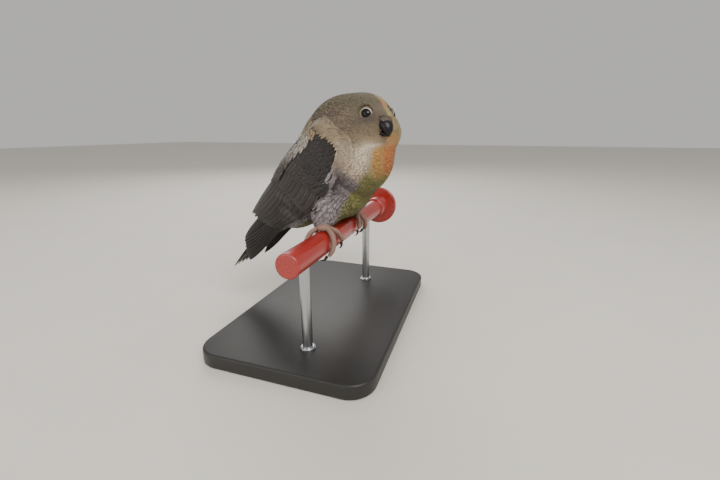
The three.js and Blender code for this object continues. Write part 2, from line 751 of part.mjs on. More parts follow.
// Perch: a rod with a collar and a round end stop
const sideways = new THREE.Matrix4().makeRotationZ(-Math.PI / 2).setPosition(0, 0, PERCH_HEIGHT);
const EDGE = 0.8; // how far the perch's edges are broken
const stopFace = PERCH_FAR - STOP_THICKNESS;
const profile = [
  [0, PERCH_NEAR],
  [PERCH_RADIUS - EDGE, PERCH_NEAR],
  [PERCH_RADIUS, PERCH_NEAR + EDGE],
  [PERCH_RADIUS, stopFace - COLLAR_LENGTH],
  [COLLAR_RADIUS, stopFace - COLLAR_LENGTH + EDGE],
  [COLLAR_RADIUS, stopFace],
  [STOP_RADIUS - EDGE, stopFace],
  [STOP_RADIUS, stopFace + EDGE],
  [STOP_RADIUS, PERCH_FAR - EDGE],
  [STOP_RADIUS - EDGE, PERCH_FAR],
  [0, PERCH_FAR],
].map(([r, x]) => new THREE.Vector2(r, x));
const perch = fromGeometry(new THREE.LatheGeometry(profile, 28), sideways);
add("perch", perch, COLOUR.perch, 0.3);

// Stand: a flat base with rounded corners, and two rods up to the perch
const [baseLength, baseDepth, baseThick] = BASE_SIZE;
const CORNER = 12;
const BEVEL = 1.2;
const outline = new THREE.Shape();
const halfX = baseLength / 2 - BEVEL;
const halfY = baseDepth / 2 - BEVEL;
for (let i = 0; i < 4; i++) {
  const sx = i === 0 || i === 3 ? 1 : -1;
  const sy = i < 2 ? 1 : -1;
  const x = sx * (halfX - CORNER);
  const y = sy * (halfY - CORNER);
  const start = (i * Math.PI) / 2;
  if (i === 0) outline.moveTo(x + CORNER, y);
  outline.absarc(x, y, CORNER, start, start + Math.PI / 2, false);
}
outline.closePath();
const slab = new THREE.ExtrudeGeometry(outline, {
  depth: baseThick - 2 * BEVEL,
  bevelThickness: BEVEL,
  bevelSize: BEVEL,
  bevelSegments: 1,
  curveSegments: 5,
});
slab.translate(BASE_SHIFT[0], BASE_SHIFT[1], BEVEL);
let base = fromGeometry(slab);
const SOCKET = 4; // depth of the rods' sockets in the base
ROD_PLACES.forEach((x, i) => {
  const upright = (radius, low, high) =>
    fromGeometry(
      new THREE.CylinderGeometry(radius, radius, high - low, 20),
      new THREE.Matrix4().makeRotationX(Math.PI / 2).setPosition(x, 0, (low + high) / 2),
    );
  base = base.subtract(upright(ROD_RADIUS + GAP, baseThick - SOCKET, baseThick + 1));
  const rod = upright(ROD_RADIUS, baseThick - SOCKET + GAP, PERCH_HEIGHT).subtract(perchRoom);
  add(`stand_rod_${i + 1}`, rod, COLOUR.rod, 0.3);
});
add("stand_base", base, COLOUR.base, 0.5);

export default bird;
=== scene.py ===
import math

import bmesh
import bpy
import numpy as np
from bpy.props import FloatProperty, FloatVectorProperty, IntProperty, PointerProperty
from mathutils import Matrix, Vector
from mathutils.kdtree import KDTree


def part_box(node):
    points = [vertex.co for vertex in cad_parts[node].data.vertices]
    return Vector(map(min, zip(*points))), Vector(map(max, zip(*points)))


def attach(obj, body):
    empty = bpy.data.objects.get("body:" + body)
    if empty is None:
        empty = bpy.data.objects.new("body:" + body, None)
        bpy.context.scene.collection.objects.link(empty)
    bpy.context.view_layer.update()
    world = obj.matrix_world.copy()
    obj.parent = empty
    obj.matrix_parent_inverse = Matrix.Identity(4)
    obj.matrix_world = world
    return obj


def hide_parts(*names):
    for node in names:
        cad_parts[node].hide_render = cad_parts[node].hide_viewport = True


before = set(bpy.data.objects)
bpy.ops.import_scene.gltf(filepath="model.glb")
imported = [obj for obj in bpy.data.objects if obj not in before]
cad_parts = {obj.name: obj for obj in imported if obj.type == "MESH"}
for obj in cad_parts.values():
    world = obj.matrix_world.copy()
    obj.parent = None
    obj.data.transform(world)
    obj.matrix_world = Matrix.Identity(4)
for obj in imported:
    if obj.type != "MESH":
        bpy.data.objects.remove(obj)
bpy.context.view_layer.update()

bl_info = {
    "name": "Lovebird on a stand",
    "version": (1, 0, 0),
    "blender": (4, 5, 0),
    "location": "3D View > Sidebar > Lovebird",
    "description": "Dresses a life-size lovebird, its perch and its plain stand",
    "category": "Object",
}

# A peach faced lovebird at rest on a cut length of its perch. Sizes here are millimetres, and MM
# turns them to metres where a mesh is made. The bird looks towards -Y and its right side is at -X.
MM = 0.001
SEED = 41

# The bird's frame, as the solids have it
PERCH_HEIGHT = 58.0
PERCH_RADIUS = 6.0
PERCH_ENDS = (-62.0, 84.0)
STOP = (14.0, 3.6)  # radius and thickness of the end stop
COLLAR = (7.4, 13.0)  # radius and length of the collar behind it
GAP = 0.3  # between solids that touch
BODY_YAW = 3.0
HEAD_YAW = 42.0
EYES = (24.9, -4.0, 63.8)  # the middle between the eyes: forward, left and up
EYE_RADIUS = 3.3
EYE_REACH = {-1: 6.5, 1: 5.6}  # how far out each eyeball sits, the far one a little deeper
EYE_BACK = 1.0
EYE_LEAD = {-1: 42.0, 1: 16.0}  # how far each eye is turned forward
FEET = (-23.0, 19.0)  # where the feet stand along the perch
TOE_SPREAD = 10.0
BLEND = 2.6  # how softly the masses run into each other

# Rounded masses that the plumage wraps: middle (forward, left, up), pitch, half length, depth, width
BODY_MASSES = [
    ((-8.5, 0, 37), 50, 29.5, 20, 18),
    ((16.5, -1, 40), 68, 17, 14, 19),
    ((5, 0, 21), 40, 14, 11, 15),
    ((-1, 13, 15), 60, 9, 7.5, 7),
    ((-1, -14, 15), 60, 9, 7.5, 7),
    ((-20, 0, 11), 35, 16, 8, 11),
    ((-34, 0, 20), 50, 23, 9, 11),
    ((-38, 0, 5), 44, 15, 5.5, 8),
    ((0.5, 0, 55), 55, 20, 16.5, 16),
]
HEAD_MASSES = [
    ((-10, 0, -2), -20, 14, 8.8, 9.4),
    ((-15, -1, -4), 20, 16, 14, 13),
    ((-4.5, 6, -9), 0, 7, 6.5, 8),
    ((-4.5, -6, -9), 0, 7, 6.5, 8),
    ((2.2, 0, -2.6), -25, 3.4, 3, 3.6),
]
THIGH_MASSES = [((0, x * 0.9, 12.5), 82, 7.5, 3.9, 3.9) for x in FEET]
BED_MASSES = [((-7, 0, 22), 50, 24, 15, 20), ((-50, 0, -2), 50, 36, 10.5, 10.5)]


def linear(code):
    """An sRGB hex colour as linear red, green and blue."""
    parts = [int(code[i : i + 2], 16) / 255 for i in (1, 3, 5)]
    return tuple(c / 12.92 if c <= 0.04045 else ((c + 0.055) / 1.055) ** 2.4 for c in parts)


def colour(name, code, text):
    """A colour that the user can change."""
    return FloatVectorProperty(
        name=name, description=text, subtype="COLOR", size=3, min=0, max=1, default=linear(code)
    )


def length(name, millimetres, text):
    """A length that the user can change."""
    return FloatProperty(
        name=name, description=text, default=millimetres * MM, min=0, unit="LENGTH", precision=5
    )


# Places on the bird


def on_body(forward, left, up):
    """Places from how far they lie forward, left and up of the perch axis under the bird."""
    yaw = math.radians(-BODY_YAW)
    x = left * math.cos(yaw) + forward * math.sin(yaw)
    y = left * math.sin(yaw) - forward * math.cos(yaw)
    return np.stack(np.broadcast_arrays(x, y, up + PERCH_HEIGHT), -1)


def body_place(points):
    """How far points lie forward, left and up on the body."""
    yaw = math.radians(-BODY_YAW)
    x, y, z = np.moveaxis(points, -1, 0)
    left = x * math.cos(yaw) + y * math.sin(yaw)
    forward = x * math.sin(yaw) - y * math.cos(yaw)
    return forward, left, z - PERCH_HEIGHT


def on_head(forward, left, up):
    """Places measured from the middle between the eyes, along the way that the bill points."""
    turn = math.radians(-HEAD_YAW)
    return on_body(
        EYES[0] + forward * math.cos(turn) - left * math.sin(turn),
        EYES[1] + forward * math.sin(turn) + left * math.cos(turn),
        EYES[2] + up,
    )


def head_place(points):
    """How far points lie forward, left and up of the middle between the eyes."""
    forward, left, up = body_place(points)
    turn = math.radians(-HEAD_YAW)
    ahead, aside = forward - EYES[0], left - EYES[1]
    return (
        ahead * math.cos(turn) + aside * math.sin(turn),
        aside * math.cos(turn) - ahead * math.sin(turn),
        up - EYES[2],
    )


def heading(pitch, turn=0.0):
    """A direction on the bird, pitched above forward and turned to its left."""
    p, t = math.radians(pitch), math.radians(turn)
    end = on_body(math.cos(p) * math.cos(t), math.cos(p) * math.sin(t), math.sin(p))
    return end - on_body(0.0, 0.0, 0.0)


def unit(vectors):
    """Vectors scaled to length one."""
    return vectors / np.maximum(np.linalg.norm(vectors, axis=-1, keepdims=True), 1e-9)


def step(low, high, values):
    """A smooth rise from 0 at low to 1 at high."""
    t = np.clip((values - low) / (high - low), 0, 1)
    return t * t * (3 - 2 * t)


class Masses:
    """Rounded masses that run softly into each other."""

    def __init__(self, rows):
        placed = []
        for (f, l, u), pitch, long, deep, wide, on_head_too in rows:
            turn = -HEAD_YAW if on_head_too else 0
            x, z = heading(pitch, turn), heading(pitch + 90, turn)
            middle = (on_head if on_head_too else on_body)(f, l, u)
            placed.append((middle, np.array([x, np.cross(z, x), z]), (long, wide, deep)))
        self.middles, self.axes, self.radii = (np.array(part) for part in zip(*placed))

    def height(self, points):
        """Roughly the height of points above the joined surface."""
        flat = points.reshape(-1, 3)
        out = np.empty(len(flat))
        block = 20000
        for start in range(0, len(flat), block):
            away = flat[start : start + block, None, :] - self.middles
            share = np.einsum("nmk,mak->nma", away, self.axes) / self.radii
            near = np.sqrt((share**2).sum(2))
            steep = np.sqrt(((share / self.radii) ** 2).sum(2)) + 1e-9
            over = near * (near - 1) / steep
            low = over.min(1)
            rest = np.exp((low[:, None] - over) / BLEND).sum(1)
            out[start : start + block] = low - BLEND * np.log(rest)
        return out.reshape(points.shape[:-1])

    def slope(self, points):
        """The way up from the surface at each point."""
        probe = 0.05
        found = np.empty(points.shape)
        for axis in range(3):
            move = np.zeros(3)
            move[axis] = probe
            found[..., axis] = self.height(points + move) - self.height(points - move)
        return found / (2 * probe)

    def settle(self, points, height, rounds=2):
        """Points drawn onto the surface that lies a height above this one, and the way up there."""
        for _ in range(rounds):
            up = self.slope(points)
            short = (height - self.height(points)) / (up**2).sum(-1)
            points = points + up * short[..., None]
        return points, unit(up)


def rows_of(body, head=()):
    """Rows of masses, each marked as on the body or on the turned head."""
    return [row + (False,) for row in body] + [row + (True,) for row in head]


FLESH_FIELD = Masses(rows_of(BODY_MASSES + THIGH_MASSES, HEAD_MASSES))
BED_FIELD = Masses(rows_of(BODY_MASSES + BED_MASSES, HEAD_MASSES))

# The line of the folded wings: places on it are given along the body from the shoulders to the
# tail, around it from the back over the side, and above its bed.
LINE_FROM = (-3.0, 50.0)
LINE_PITCH = math.radians(52)
BED_REACH = (1.5, 46.0)  # the bed lies between these distances from the line
BED_HALVINGS = 16  # how often that distance is halved to find it


def on_bed(side, along, around, height):
    """Places above the bed that the folded wings lie on."""
    along, around, height = np.broadcast_arrays(along, np.radians(around), height)
    forward = LINE_FROM[0] - math.cos(LINE_PITCH) * along
    up = LINE_FROM[1] - math.sin(LINE_PITCH) * along

    def place(reach):
        back = reach * np.cos(around)
        return on_body(
            forward - math.sin(LINE_PITCH) * back,
            side * reach * np.sin(around),
            up + math.cos(LINE_PITCH) * back,
        )

    inner, outer = (np.full(along.shape, reach) for reach in BED_REACH)
    for _ in range(BED_HALVINGS):
        middle = (inner + outer) / 2
        high = BED_FIELD.height(place(middle)) > 0
        outer = np.where(high, middle, outer)
        inner = np.where(high, inner, middle)
    return place(inner + GAP + height)


def bed_place(points):
    """How far points lie along the body's line and around it, in degrees from the back."""
    forward, left, up = body_place(points)
    ahead, over = forward - LINE_FROM[0], up - LINE_FROM[1]
    along = -(ahead * math.cos(LINE_PITCH) + over * math.sin(LINE_PITCH))
    back = over * math.cos(LINE_PITCH) - ahead * math.sin(LINE_PITCH)
    return along, np.degrees(np.arctan2(np.abs(left), back))


# Sizes and colours that a user would change


class LovebirdSizes(bpy.types.PropertyGroup):
    """Sizes of the lovebird's coat and its small parts"""

    coat_body: length("Coat on the body", 1.5, "Depth of the plumage on the body")
    coat_face: length("Coat on the face", 0.45, "Depth of the plumage beside the bill")
    feather_face: length("Feathers on the face", 1.5, "Length of a feather beside the bill")
    feather_body: length("Feathers on the body", 7.5, "Length of a feather on the flank")
    wisp_width: length("Wisp width", 0.22, "Half width of a loose bundle of barbs")
    eye_opening: length("Eye opening", 2.75, "Radius of the opening between the lids")
    lid_width: length("Lid ring", 0.75, "Width of the bare ring round the eye")
    vane_thickness: length("Vane thickness", 0.3, "Thickness of a flight feather at its shaft")
    scute: length("Scute", 1.15, "Length of one scute on a toe")
    ferrule: length("Ferrule", 3.9, "Radius of the ferrule at a rod's foot")
    tail_feathers: IntProperty(name="Tail feathers", description="Feathers in the tail", default=12)


class LovebirdColours(bpy.types.PropertyGroup):
    """Colours of the lovebird, its perch and its stand"""

    crown: colour("Crown", "#72664b", "Olive brown of the crown")
    hind_crown: colour("Hind crown", "#605540", "Darker brown behind the crown")
    cheek: colour("Cheek", "#8b7b63", "Dove brown of the right cheek")
    low_cheek: colour("Lower cheek", "#a89377", "Paler brown below the cheek")
    lores: colour("Lores", "#5a4e45", "Purple grey between the eye and the bill")
    streak: colour("Streak", "#66564e", "Mauve streak behind the eye")
    cream: colour("Cream", "#c0ad95", "Cream of the right breast")
    # The breast edge colour is a painted highlight: pale feather edges catching the light just right
    # of the middle
    edge: colour("Breast edge", "#e8d9c1", "Bright edge of the cream breast")
    flank: colour("Flank", "#938a8e", "Lavender grey of the right flank")
    mantle: colour("Mantle", "#98928a", "Pale grey of the back")
    bib: colour("Bib", "#d98b50", "Orange of the throat")
    bib_rim: colour("Bib rim", "#cb9c5a", "Yellow orange round the bib")
    chin: colour("Chin", "#dba888", "Peach of the small chin feathers")
    forehead: colour("Forehead", "#d9894a", "Orange of the forehead")
    far_face: colour("Left face", "#b39f6c", "Yellow olive of the left cheek")
    far_streak: colour("Left streaks", "#7d6b43", "Dark streaks of the left cheek")
    far_throat: colour("Left throat", "#c0b486", "Pale yellow green beside the throat")
    belly: colour("Belly", "#8c8a4f", "Olive green of the belly")
    # This darker green is painted shade low on the body, between the legs
    shaded_vent: colour("Vent", "#65633a", "Darker green between the legs")
    far_mantle: colour("Left mantle", "#71783f", "Green of the left back")
    rump: colour("Rump", "#56575c", "Grey blue of the rump")
    wing: colour("Right wing", "#33302f", "Dark slate of the right wing")
    wing_fringe: colour("Right wing fringe", "#6e6863", "Paler fringe of the slate feathers")
    flight: colour("Flight feathers", "#131213", "Near black of the flight feathers")
    far_wing: colour("Left wing", "#444f2b", "Green of the left wing")
    far_fringe: colour("Left wing fringe", "#69713c", "Paler fringe of the green feathers")
    tail: colour("Tail", "#0b0b0c", "Near black of the tail")
    tail_fringe: colour("Tail fringe", "#7d725e", "Pale edges of the tail feathers")
    shaft: colour("Shaft", "#3e3934", "Shafts of the flight feathers")
    eye: colour("Eye", "#0c0806", "Dark brown of the iris")
    lid: colour("Lid", "#bdb5a8", "Narrow pale ring of bare skin round the eye")
    lid_margin: colour("Lid margin", "#3a302a", "Dark margin of the lids")
    bill: colour("Bill", "#100c11", "Near black horn with a violet tone")
    cere: colour("Cere", "#544841", "Skin round the nostrils")
    toe: colour("Toe", "#8c6e60", "Grey pink skin of the feet")
    claw: colour("Claw", "#2f2622", "Dark brown horn of the claws")
    perch: colour("Perch", "#9c2620", "Bright red of the perch")
    rod: colour("Rod", "#b9bbbe", "Stainless steel of the rods")
    base: colour("Base", "#232221", "Black of the base")
    floor: colour("Floor", "#dcd8d0", "Pale floor")


def colours():
    """The chosen colours as arrays by name."""
    group = bpy.context.scene.lovebird_colours
    return {name: np.array(getattr(group, name)) for name in group.__annotations__}


def sizes():
    """The chosen sizes in millimetres by name."""
    group = bpy.context.scene.lovebird_sizes
    names = [name for name in group.__annotations__ if name != "tail_feathers"]
    return {name: getattr(group, name) / MM for name in names}


# Markings, shared by the skin and the feathers, with a painted highlight on the breast and painted
# shade low on the belly

# Where the grey and the green halves meet: places along the trunk, and the turn round it there
MEETING = (
    (-24, -21.4, -19.2, -16.5, -11.9, -5.1, 6.2, 17.8, 26.3, 36),
    (168, 160.6, 154.8, 150.5, 149.6, 149.9, 155.1, 152.5, 146, 150),
)


def waver(points, size, turn=0.0):
    """A smooth uneven pattern from -1 to 1 with patches of a size."""
    x, y, z = np.moveaxis(points, -1, 0) / size
    first = np.sin(x + 1.7 * y + turn) + np.sin(1.3 * y - 0.9 * z + 2 * turn)
    second = np.sin(1.1 * z + 0.7 * x + 3 * turn) * np.cos(0.8 * x - 1.4 * z)
    return (first + second) / 3


def spot(*ways):
    """A soft round spot from (values, middle, reach) for each way."""
    return np.exp(-sum(((values - middle) / reach) ** 2 for values, middle, reach in ways))


def plumage(points):
    """The colour of the small feathers at each point."""
    tone = colours()
    forward, left, up = body_place(points)
    ahead, aside, above = head_place(points)
    along, around = bed_place(points)
    turned = np.where(left < 0, around, 360 - around)
    rough = waver(points, 2.3)

    def lay(base, over, share):
        return base + (tone[over] - base) * np.clip(share, 0, 1)[..., None]

    # The right side: head, breast, flank and back
    right = np.broadcast_to(tone["cheek"], points.shape).copy()
    right = lay(right, "crown", step(0.5, 5, above + 0.8 * rough))
    right = lay(right, "hind_crown", 0.85 * spot((ahead, -19, 9), (above, 3.5, 6.5)))
    streak = np.exp(-((above + 0.05 * ahead - 0.4) ** 2) / 3)
    right = lay(right, "streak", 0.75 * streak * step(-4, -7, ahead) * step(-24, -13, ahead))
    right = lay(right, "lores", 0.9 * spot((ahead, 3.5, 4), (above, -1.8, 3.2)))
    right = lay(right, "low_cheek", step(-7, -11, above + 0.5 * rough) * step(-14, -4, ahead))
    cheek_edge = 51.6 + 0.42 * np.clip(4 - forward, 0, 13) + 0.7 * rough
    right = lay(right, "cream", step(cheek_edge + 1.6, cheek_edge - 1.2, up))
    lavender = step(2.5, -3.5, (up - 40) + 0.55 * (forward - 12.5) + 1.2 * rough)
    right = lay(right, "flank", lavender)
    below_cheek = step(cheek_edge + 2, cheek_edge - 2, up)
    right = lay(right, "mantle", step(104, 78, around + 4 * rough) * below_cheek)

    # The left side: face, bib, belly and back
    far = np.broadcast_to(tone["far_face"], points.shape).copy()
    streaks = step(0.1, 0.75, waver(points, 0.85, 1.0))
    far = lay(far, "far_streak", 0.75 * streaks * step(-12, -6, above))
    far = lay(far, "far_throat", step(-10, -14, above + 0.6 * rough))
    bib = ((turned - 171) / 24) ** 2 + ((along + 16.5) / 9.5) ** 2
    far = lay(far, "bib_rim", step(1.25, 0.75, bib + 0.15 * rough))
    far = lay(far, "belly", step(-10.5, -6.5, along + 0.8 * rough))
    inner_bib = ((turned - 173) / 13) ** 2 + ((along + 16) / 5.8) ** 2
    far = lay(far, "bib", step(1.3, 0.6, inner_bib + 0.15 * rough))
    # Painted shade: the green darkens towards the bottom of the body, below the belly
    far = lay(far, "shaded_vent", step(24, 12, up))
    far = lay(far, "far_mantle", step(112, 84, around + 4 * rough) * below_cheek)
    far = lay(far, "chin", spot((ahead, 5.5, 2.4), (aside, 0.5, 3.4), (above, -11.4, 1.5)))
    brow = spot((ahead, 2, 3.6), (aside, 0.9, 1.7), (above, 5.2, 2.8))
    far = lay(far, "forehead", 1.15 * brow)

    # The two halves meet along the middle of the turned head, then to the right of the breastbone
    on_skull = step(49, 56, up) * step(-6, 6, forward)
    on_back = step(80, 40, around)
    on_side = 0.27 * (turned - np.interp(along, *MEETING))
    on_trunk = left * on_back + on_side * (1 - on_back)
    halves = (1 - on_skull) * on_trunk + on_skull * (aside - 0.4) + 0.45 * rough
    green = step(-0.7, 0.7, halves)
    # A pale band just right of the middle of the breast is a painted highlight, where feather edges
    # catch the light
    breast = step(35, 40, up) * step(52, 50, up)
    right = lay(right, "edge", spot((halves, -2, 1.8)) * breast)
    mixed = right + (far - right) * green[..., None]
    rump = step(26, 34, along) * step(120, 95, around)
    return mixed + (tone["rump"] - mixed) * rump[..., None]


# Making meshes


def only(*objects):
    """Selects these objects alone and makes the first one active."""
    bpy.ops.object.select_all(action="DESELECT")
    for piece in objects:
        piece.select_set(True)
    bpy.context.view_layer.objects.active = objects[0]


def mesh_from(name, points, faces, smooth=True):
    """An object from points in millimetres and arrays of faces with a like number of corners."""
    mesh = bpy.data.meshes.new(name)
    mesh.vertices.add(len(points))
    mesh.vertices.foreach_set("co", (points * MM).astype(np.float32).ravel())
    corners = np.concatenate([f.ravel() for f in faces])
    counts = np.concatenate([np.full(len(f), f.shape[1]) for f in faces])
    mesh.loops.add(len(corners))
    mesh.loops.foreach_set("vertex_index", corners.astype(np.int32))
    mesh.polygons.add(len(counts))
    mesh.polygons.foreach_set("loop_start", (np.cumsum(counts) - counts).astype(np.int32))
    mesh.update(calc_edges=True)
    mesh.polygons.foreach_set("use_smooth", np.full(len(counts), smooth))
    made = bpy.data.objects.new(name, mesh)
    bpy.context.scene.collection.objects.link(made)
    return made


def paint(piece, name, values):
    """Stores a linear colour for each vertex."""
    layer = piece.data.color_attributes.new(name, "FLOAT_COLOR", "POINT")
    whole = np.concatenate([values, np.ones((len(values), 1))], 1)
    layer.data.foreach_set("color", whole.astype(np.float32).ravel())


def map_uv(piece, name, places):
    """Stores a place on a UV map for each vertex."""
    layer = piece.data.uv_layers.new(name=name)
    corners = np.empty(len(piece.data.loops), np.int32)
    piece.data.loops.foreach_get("vertex_index", corners)
    layer.data.foreach_set("uv", places[corners].astype(np.float32).ravel())


def positions(piece):
    """The piece's vertices in millimetres."""
    found = np.empty(len(piece.data.vertices) * 3, np.float32)
    piece.data.vertices.foreach_get("co", found)
    return found.reshape(-1, 3).astype(float) / MM


def set_positions(piece, points):
    """Moves the piece's vertices to points in millimetres."""
    piece.data.vertices.foreach_set("co", (points * MM).astype(np.float32).ravel())
    piece.data.update()


def finish(piece, surface, slot, *nodes):
    """Gives a piece its finish, its body and the solids that it stands for."""
    piece.data.materials.clear()
    piece.data.materials.append(surface)
    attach(piece, "root")
    if nodes:
        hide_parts(*nodes)
    return piece


def apply_modifiers(piece):
    """Applies all the piece's modifiers in order."""
    only(piece)
    for modifier in list(piece.modifiers):
        bpy.ops.object.modifier_apply(modifier=modifier.name)


def new_piece(name):
    """The active piece, which was just added or joined, under its own name."""
    piece = bpy.context.object
    piece.name = piece.data.name = name
    return piece


def all_smooth(piece):
    """Shades every face smooth."""
    piece.data.polygons.foreach_set("use_smooth", [True] * len(piece.data.polygons))


def face_outward(piece):
    """Turns the faces of a closed piece outwards."""
    only(piece)
    bpy.ops.object.mode_set(mode="EDIT")
    bpy.ops.mesh.select_all(action="SELECT")
    bpy.ops.mesh.normals_make_consistent(inside=False)
    bpy.ops.object.mode_set(mode="OBJECT")


def drawn_out(name, rings):
    """A closed piece drawn out from a disc: each further ring is extruded and put in its place."""
    count = len(rings[0])
    bpy.ops.object.select_all(action="DESELECT")
    bpy.ops.mesh.primitive_circle_add(vertices=count, radius=MM, fill_type="NGON")
    piece = new_piece(name)
    set_positions(piece, rings[0])
    bpy.ops.object.mode_set(mode="EDIT")
    bpy.ops.mesh.select_mode(type="FACE")
    bpy.ops.mesh.select_all(action="SELECT")
    for before, after in zip(rings, rings[1:]):
        bpy.ops.mesh.extrude_region_move()
        shape = bmesh.from_edit_mesh(piece.data)
        for vertex in [v for v in shape.verts if v.select]:
            place = np.array(vertex.co) / MM
            vertex.co = after[np.argmin(((before - place) ** 2).sum(1))] * MM
        bmesh.update_edit_mesh(piece.data)
    bpy.ops.object.mode_set(mode="OBJECT")
    face_outward(piece)
    all_smooth(piece)
    return piece


def joined(name, pieces):
    """Several pieces joined under one name."""
    only(*pieces)
    if len(pieces) > 1:
        bpy.ops.object.join()
    return new_piece(name)


def smooth_line(rows, count):
    """A smooth line through rows of numbers, with more rows."""
    rows = np.asarray(rows, float)
    padded = np.vstack([2 * rows[0] - rows[1], rows, 2 * rows[-1] - rows[-2]])
    out = []
    for t in np.linspace(0, len(rows) - 1, count):
        i = min(int(t), len(rows) - 2)
        s = t - i
        a, b, c, d = padded[i : i + 4]
        out.append(
            b + 0.5 * s * (c - a + s * (2 * a - 5 * b + 4 * c - d + s * (3 * (b - c) + d - a)))
        )
    return np.array(out)


def tube(places, radii, sides):
    """Rings of points round a line of places, each with its own radius."""
    along = unit(np.gradient(places, axis=0))
    across = unit(np.array([1.0, 0, 0]) - along[:, :1] * along)
    up = np.cross(along, across)
    turn = 2 * np.pi * np.arange(sides) / sides
    reach = radii[:, None] if radii.ndim == 1 else radii
    return (
        places[:, None]
        + across[:, None] * (reach * np.cos(turn))[..., None]
        + up[:, None] * (reach * np.sin(turn))[..., None]
    )


# Materials


def add_node(tree, kind, inputs=None, **settings):
    """Adds a node with its settings, and its inputs as values or links."""
    made = tree.nodes.new(kind)
    for name, value in settings.items():
        setattr(made, name, value)
    for name, value in (inputs or {}).items():
        if isinstance(value, bpy.types.NodeSocket):
            tree.links.new(value, made.inputs[name])
        else:
            made.inputs[name].default_value = value
    return made


def material(name, **constants):
    """A new material: its node tree and its shader with constant values set."""
    made = bpy.data.materials.new(name)
    made.use_nodes = True
    shader = made.node_tree.nodes["Principled BSDF"]
    for key, value in constants.items():
        shader.inputs[key.replace("_", " ")].default_value = value
    return made, made.node_tree, shader


def solid(value):
    """A colour with full cover."""
    return (*value, 1.0)


def mottled(tree, base, place, size, amount):
    """A colour made unevenly lighter and darker in patches of a size in millimetres."""
    noise = add_node(
        tree, "ShaderNodeTexNoise", {"Vector": place, "Scale": 1 / (size * MM), "Detail": 3.0}
    )
    level = add_node(
        tree,
        "ShaderNodeMapRange",
        {"Value": noise.outputs["Fac"], "From Min": 0.3, "From Max": 0.7,
         "To Min": 1 - amount, "To Max": 1 + amount},
    )
    scaled = add_node(
        tree, "ShaderNodeVectorMath", {0: base, 1: level.outputs["Result"]}, operation="MULTIPLY"
    )
    return scaled.outputs["Vector"]


def bumped(tree, shader, height, depth, strength=1.0):
    """Raises the surface by a pattern, to a depth in millimetres."""
    bump = add_node(
        tree, "ShaderNodeBump", {"Height": height, "Distance": depth * MM, "Strength": strength}
    )
    tree.links.new(bump.outputs["Normal"], shader.inputs["Normal"])


def plumage_material(name, barbs):
    """Soft contour feathers: matt keratin with a faint sheen. The markings are the piece's own
    colours, mottled as real plumage is, and barbs run off each feather's shaft."""
    made, tree, shader = material(
        name, Roughness=0.78, Sheen_Weight=0.12, Sheen_Roughness=0.5, Specular_IOR_Level=0.25
    )
    place = add_node(tree, "ShaderNodeTexCoord").outputs["Object"]
    own = add_node(tree, "ShaderNodeVertexColor", layer_name="plumage").outputs["Color"]
    shade = mottled(tree, own, place, 3.0, 0.07)
    tree.links.new(shade, shader.inputs["Base Color"])
    if barbs:
        lie = add_node(tree, "ShaderNodeUVMap", uv_map="vane").outputs["UV"]
        wave = add_node(
            tree,
            "ShaderNodeTexWave",
            {"Vector": lie, "Scale": 5.0, "Distortion": 2.0, "Detail": 1.0},
            bands_direction="DIAGONAL",
        )
        bumped(tree, shader, wave.outputs["Fac"], 0.04, 0.35)
    else:
        noise = add_node(tree, "ShaderNodeTexNoise", {"Vector": place, "Scale": 1 / (0.5 * MM)})
        bumped(tree, shader, noise.outputs["Fac"], 0.04)
    return made


def vane_material(name, fringe):
    """Flight feather keratin: barbs slant off a darker shaft, and the rim is paler and worn. The
    real barbs are 0.05 mm apart and are drawn ten times coarser so that they show."""
    tone = colours()
    made, tree, shader = material(
        name, Roughness=0.5, Sheen_Weight=0.1, Sheen_Roughness=0.4, Specular_IOR_Level=0.35
    )
    place = add_node(tree, "ShaderNodeTexCoord").outputs["Object"]
    own = add_node(tree, "ShaderNodeVertexColor", layer_name="plumage").outputs["Color"]
    lie = add_node(tree, "ShaderNodeUVMap", uv_map="vane").outputs["UV"]
    split = add_node(tree, "ShaderNodeSeparateXYZ", {"Vector": lie})
    out = add_node(tree, "ShaderNodeMath", {0: split.outputs["X"], 1: 0.5}, operation="SUBTRACT")
    out = add_node(tree, "ShaderNodeMath", {0: out.outputs[0]}, operation="ABSOLUTE").outputs[0]
    shade = mottled(tree, own, place, 1.6, 0.14)
    rim = add_node(
        tree, "ShaderNodeMapRange", {"Value": out, "From Min": 0.43, "From Max": 0.5}
    ).outputs["Result"]
    shade = add_node(
        tree, "ShaderNodeMix", {"Factor": rim, "A": shade, "B": solid(tone[fringe])}, data_type="RGBA"
    ).outputs["Result"]
    quill = add_node(
        tree, "ShaderNodeMapRange",
        {"Value": out, "From Min": 0.018, "From Max": 0.03, "To Min": 1.0, "To Max": 0.0},
    ).outputs["Result"]
    shade = add_node(
        tree, "ShaderNodeMix", {"Factor": quill, "A": shade, "B": solid(tone["shaft"])},
        data_type="RGBA",
    ).outputs["Result"]
    tree.links.new(shade, shader.inputs["Base Color"])
    slant = add_node(tree, "ShaderNodeMath", {0: out, 1: 0.9}, operation="MULTIPLY").outputs[0]
    run = add_node(
        tree, "ShaderNodeMath", {0: split.outputs["Y"], 1: slant}, operation="SUBTRACT"
    ).outputs[0]
    lines = add_node(tree, "ShaderNodeMath", {0: run, 1: 260.0}, operation="MULTIPLY").outputs[0]
    lines = add_node(tree, "ShaderNodeMath", {0: lines}, operation="SINE").outputs[0]
    bumped(tree, shader, lines, 0.05, 0.6)
    return made


# The skin under the coat

FLESH = ["head", "neck", "torso", "belly", "rump", "leg_right", "leg_left"]
SWELL = 0.5  # how far the copied solids swell, to close the gaps between them
VOXEL = 1.0  # grain of the one surface that is remade from them
SKIN_ROUNDS = 3  # how often that surface is smoothed and drawn in under the coat
SKIN_MOVE = 2.0  # the most that a point is drawn in one round


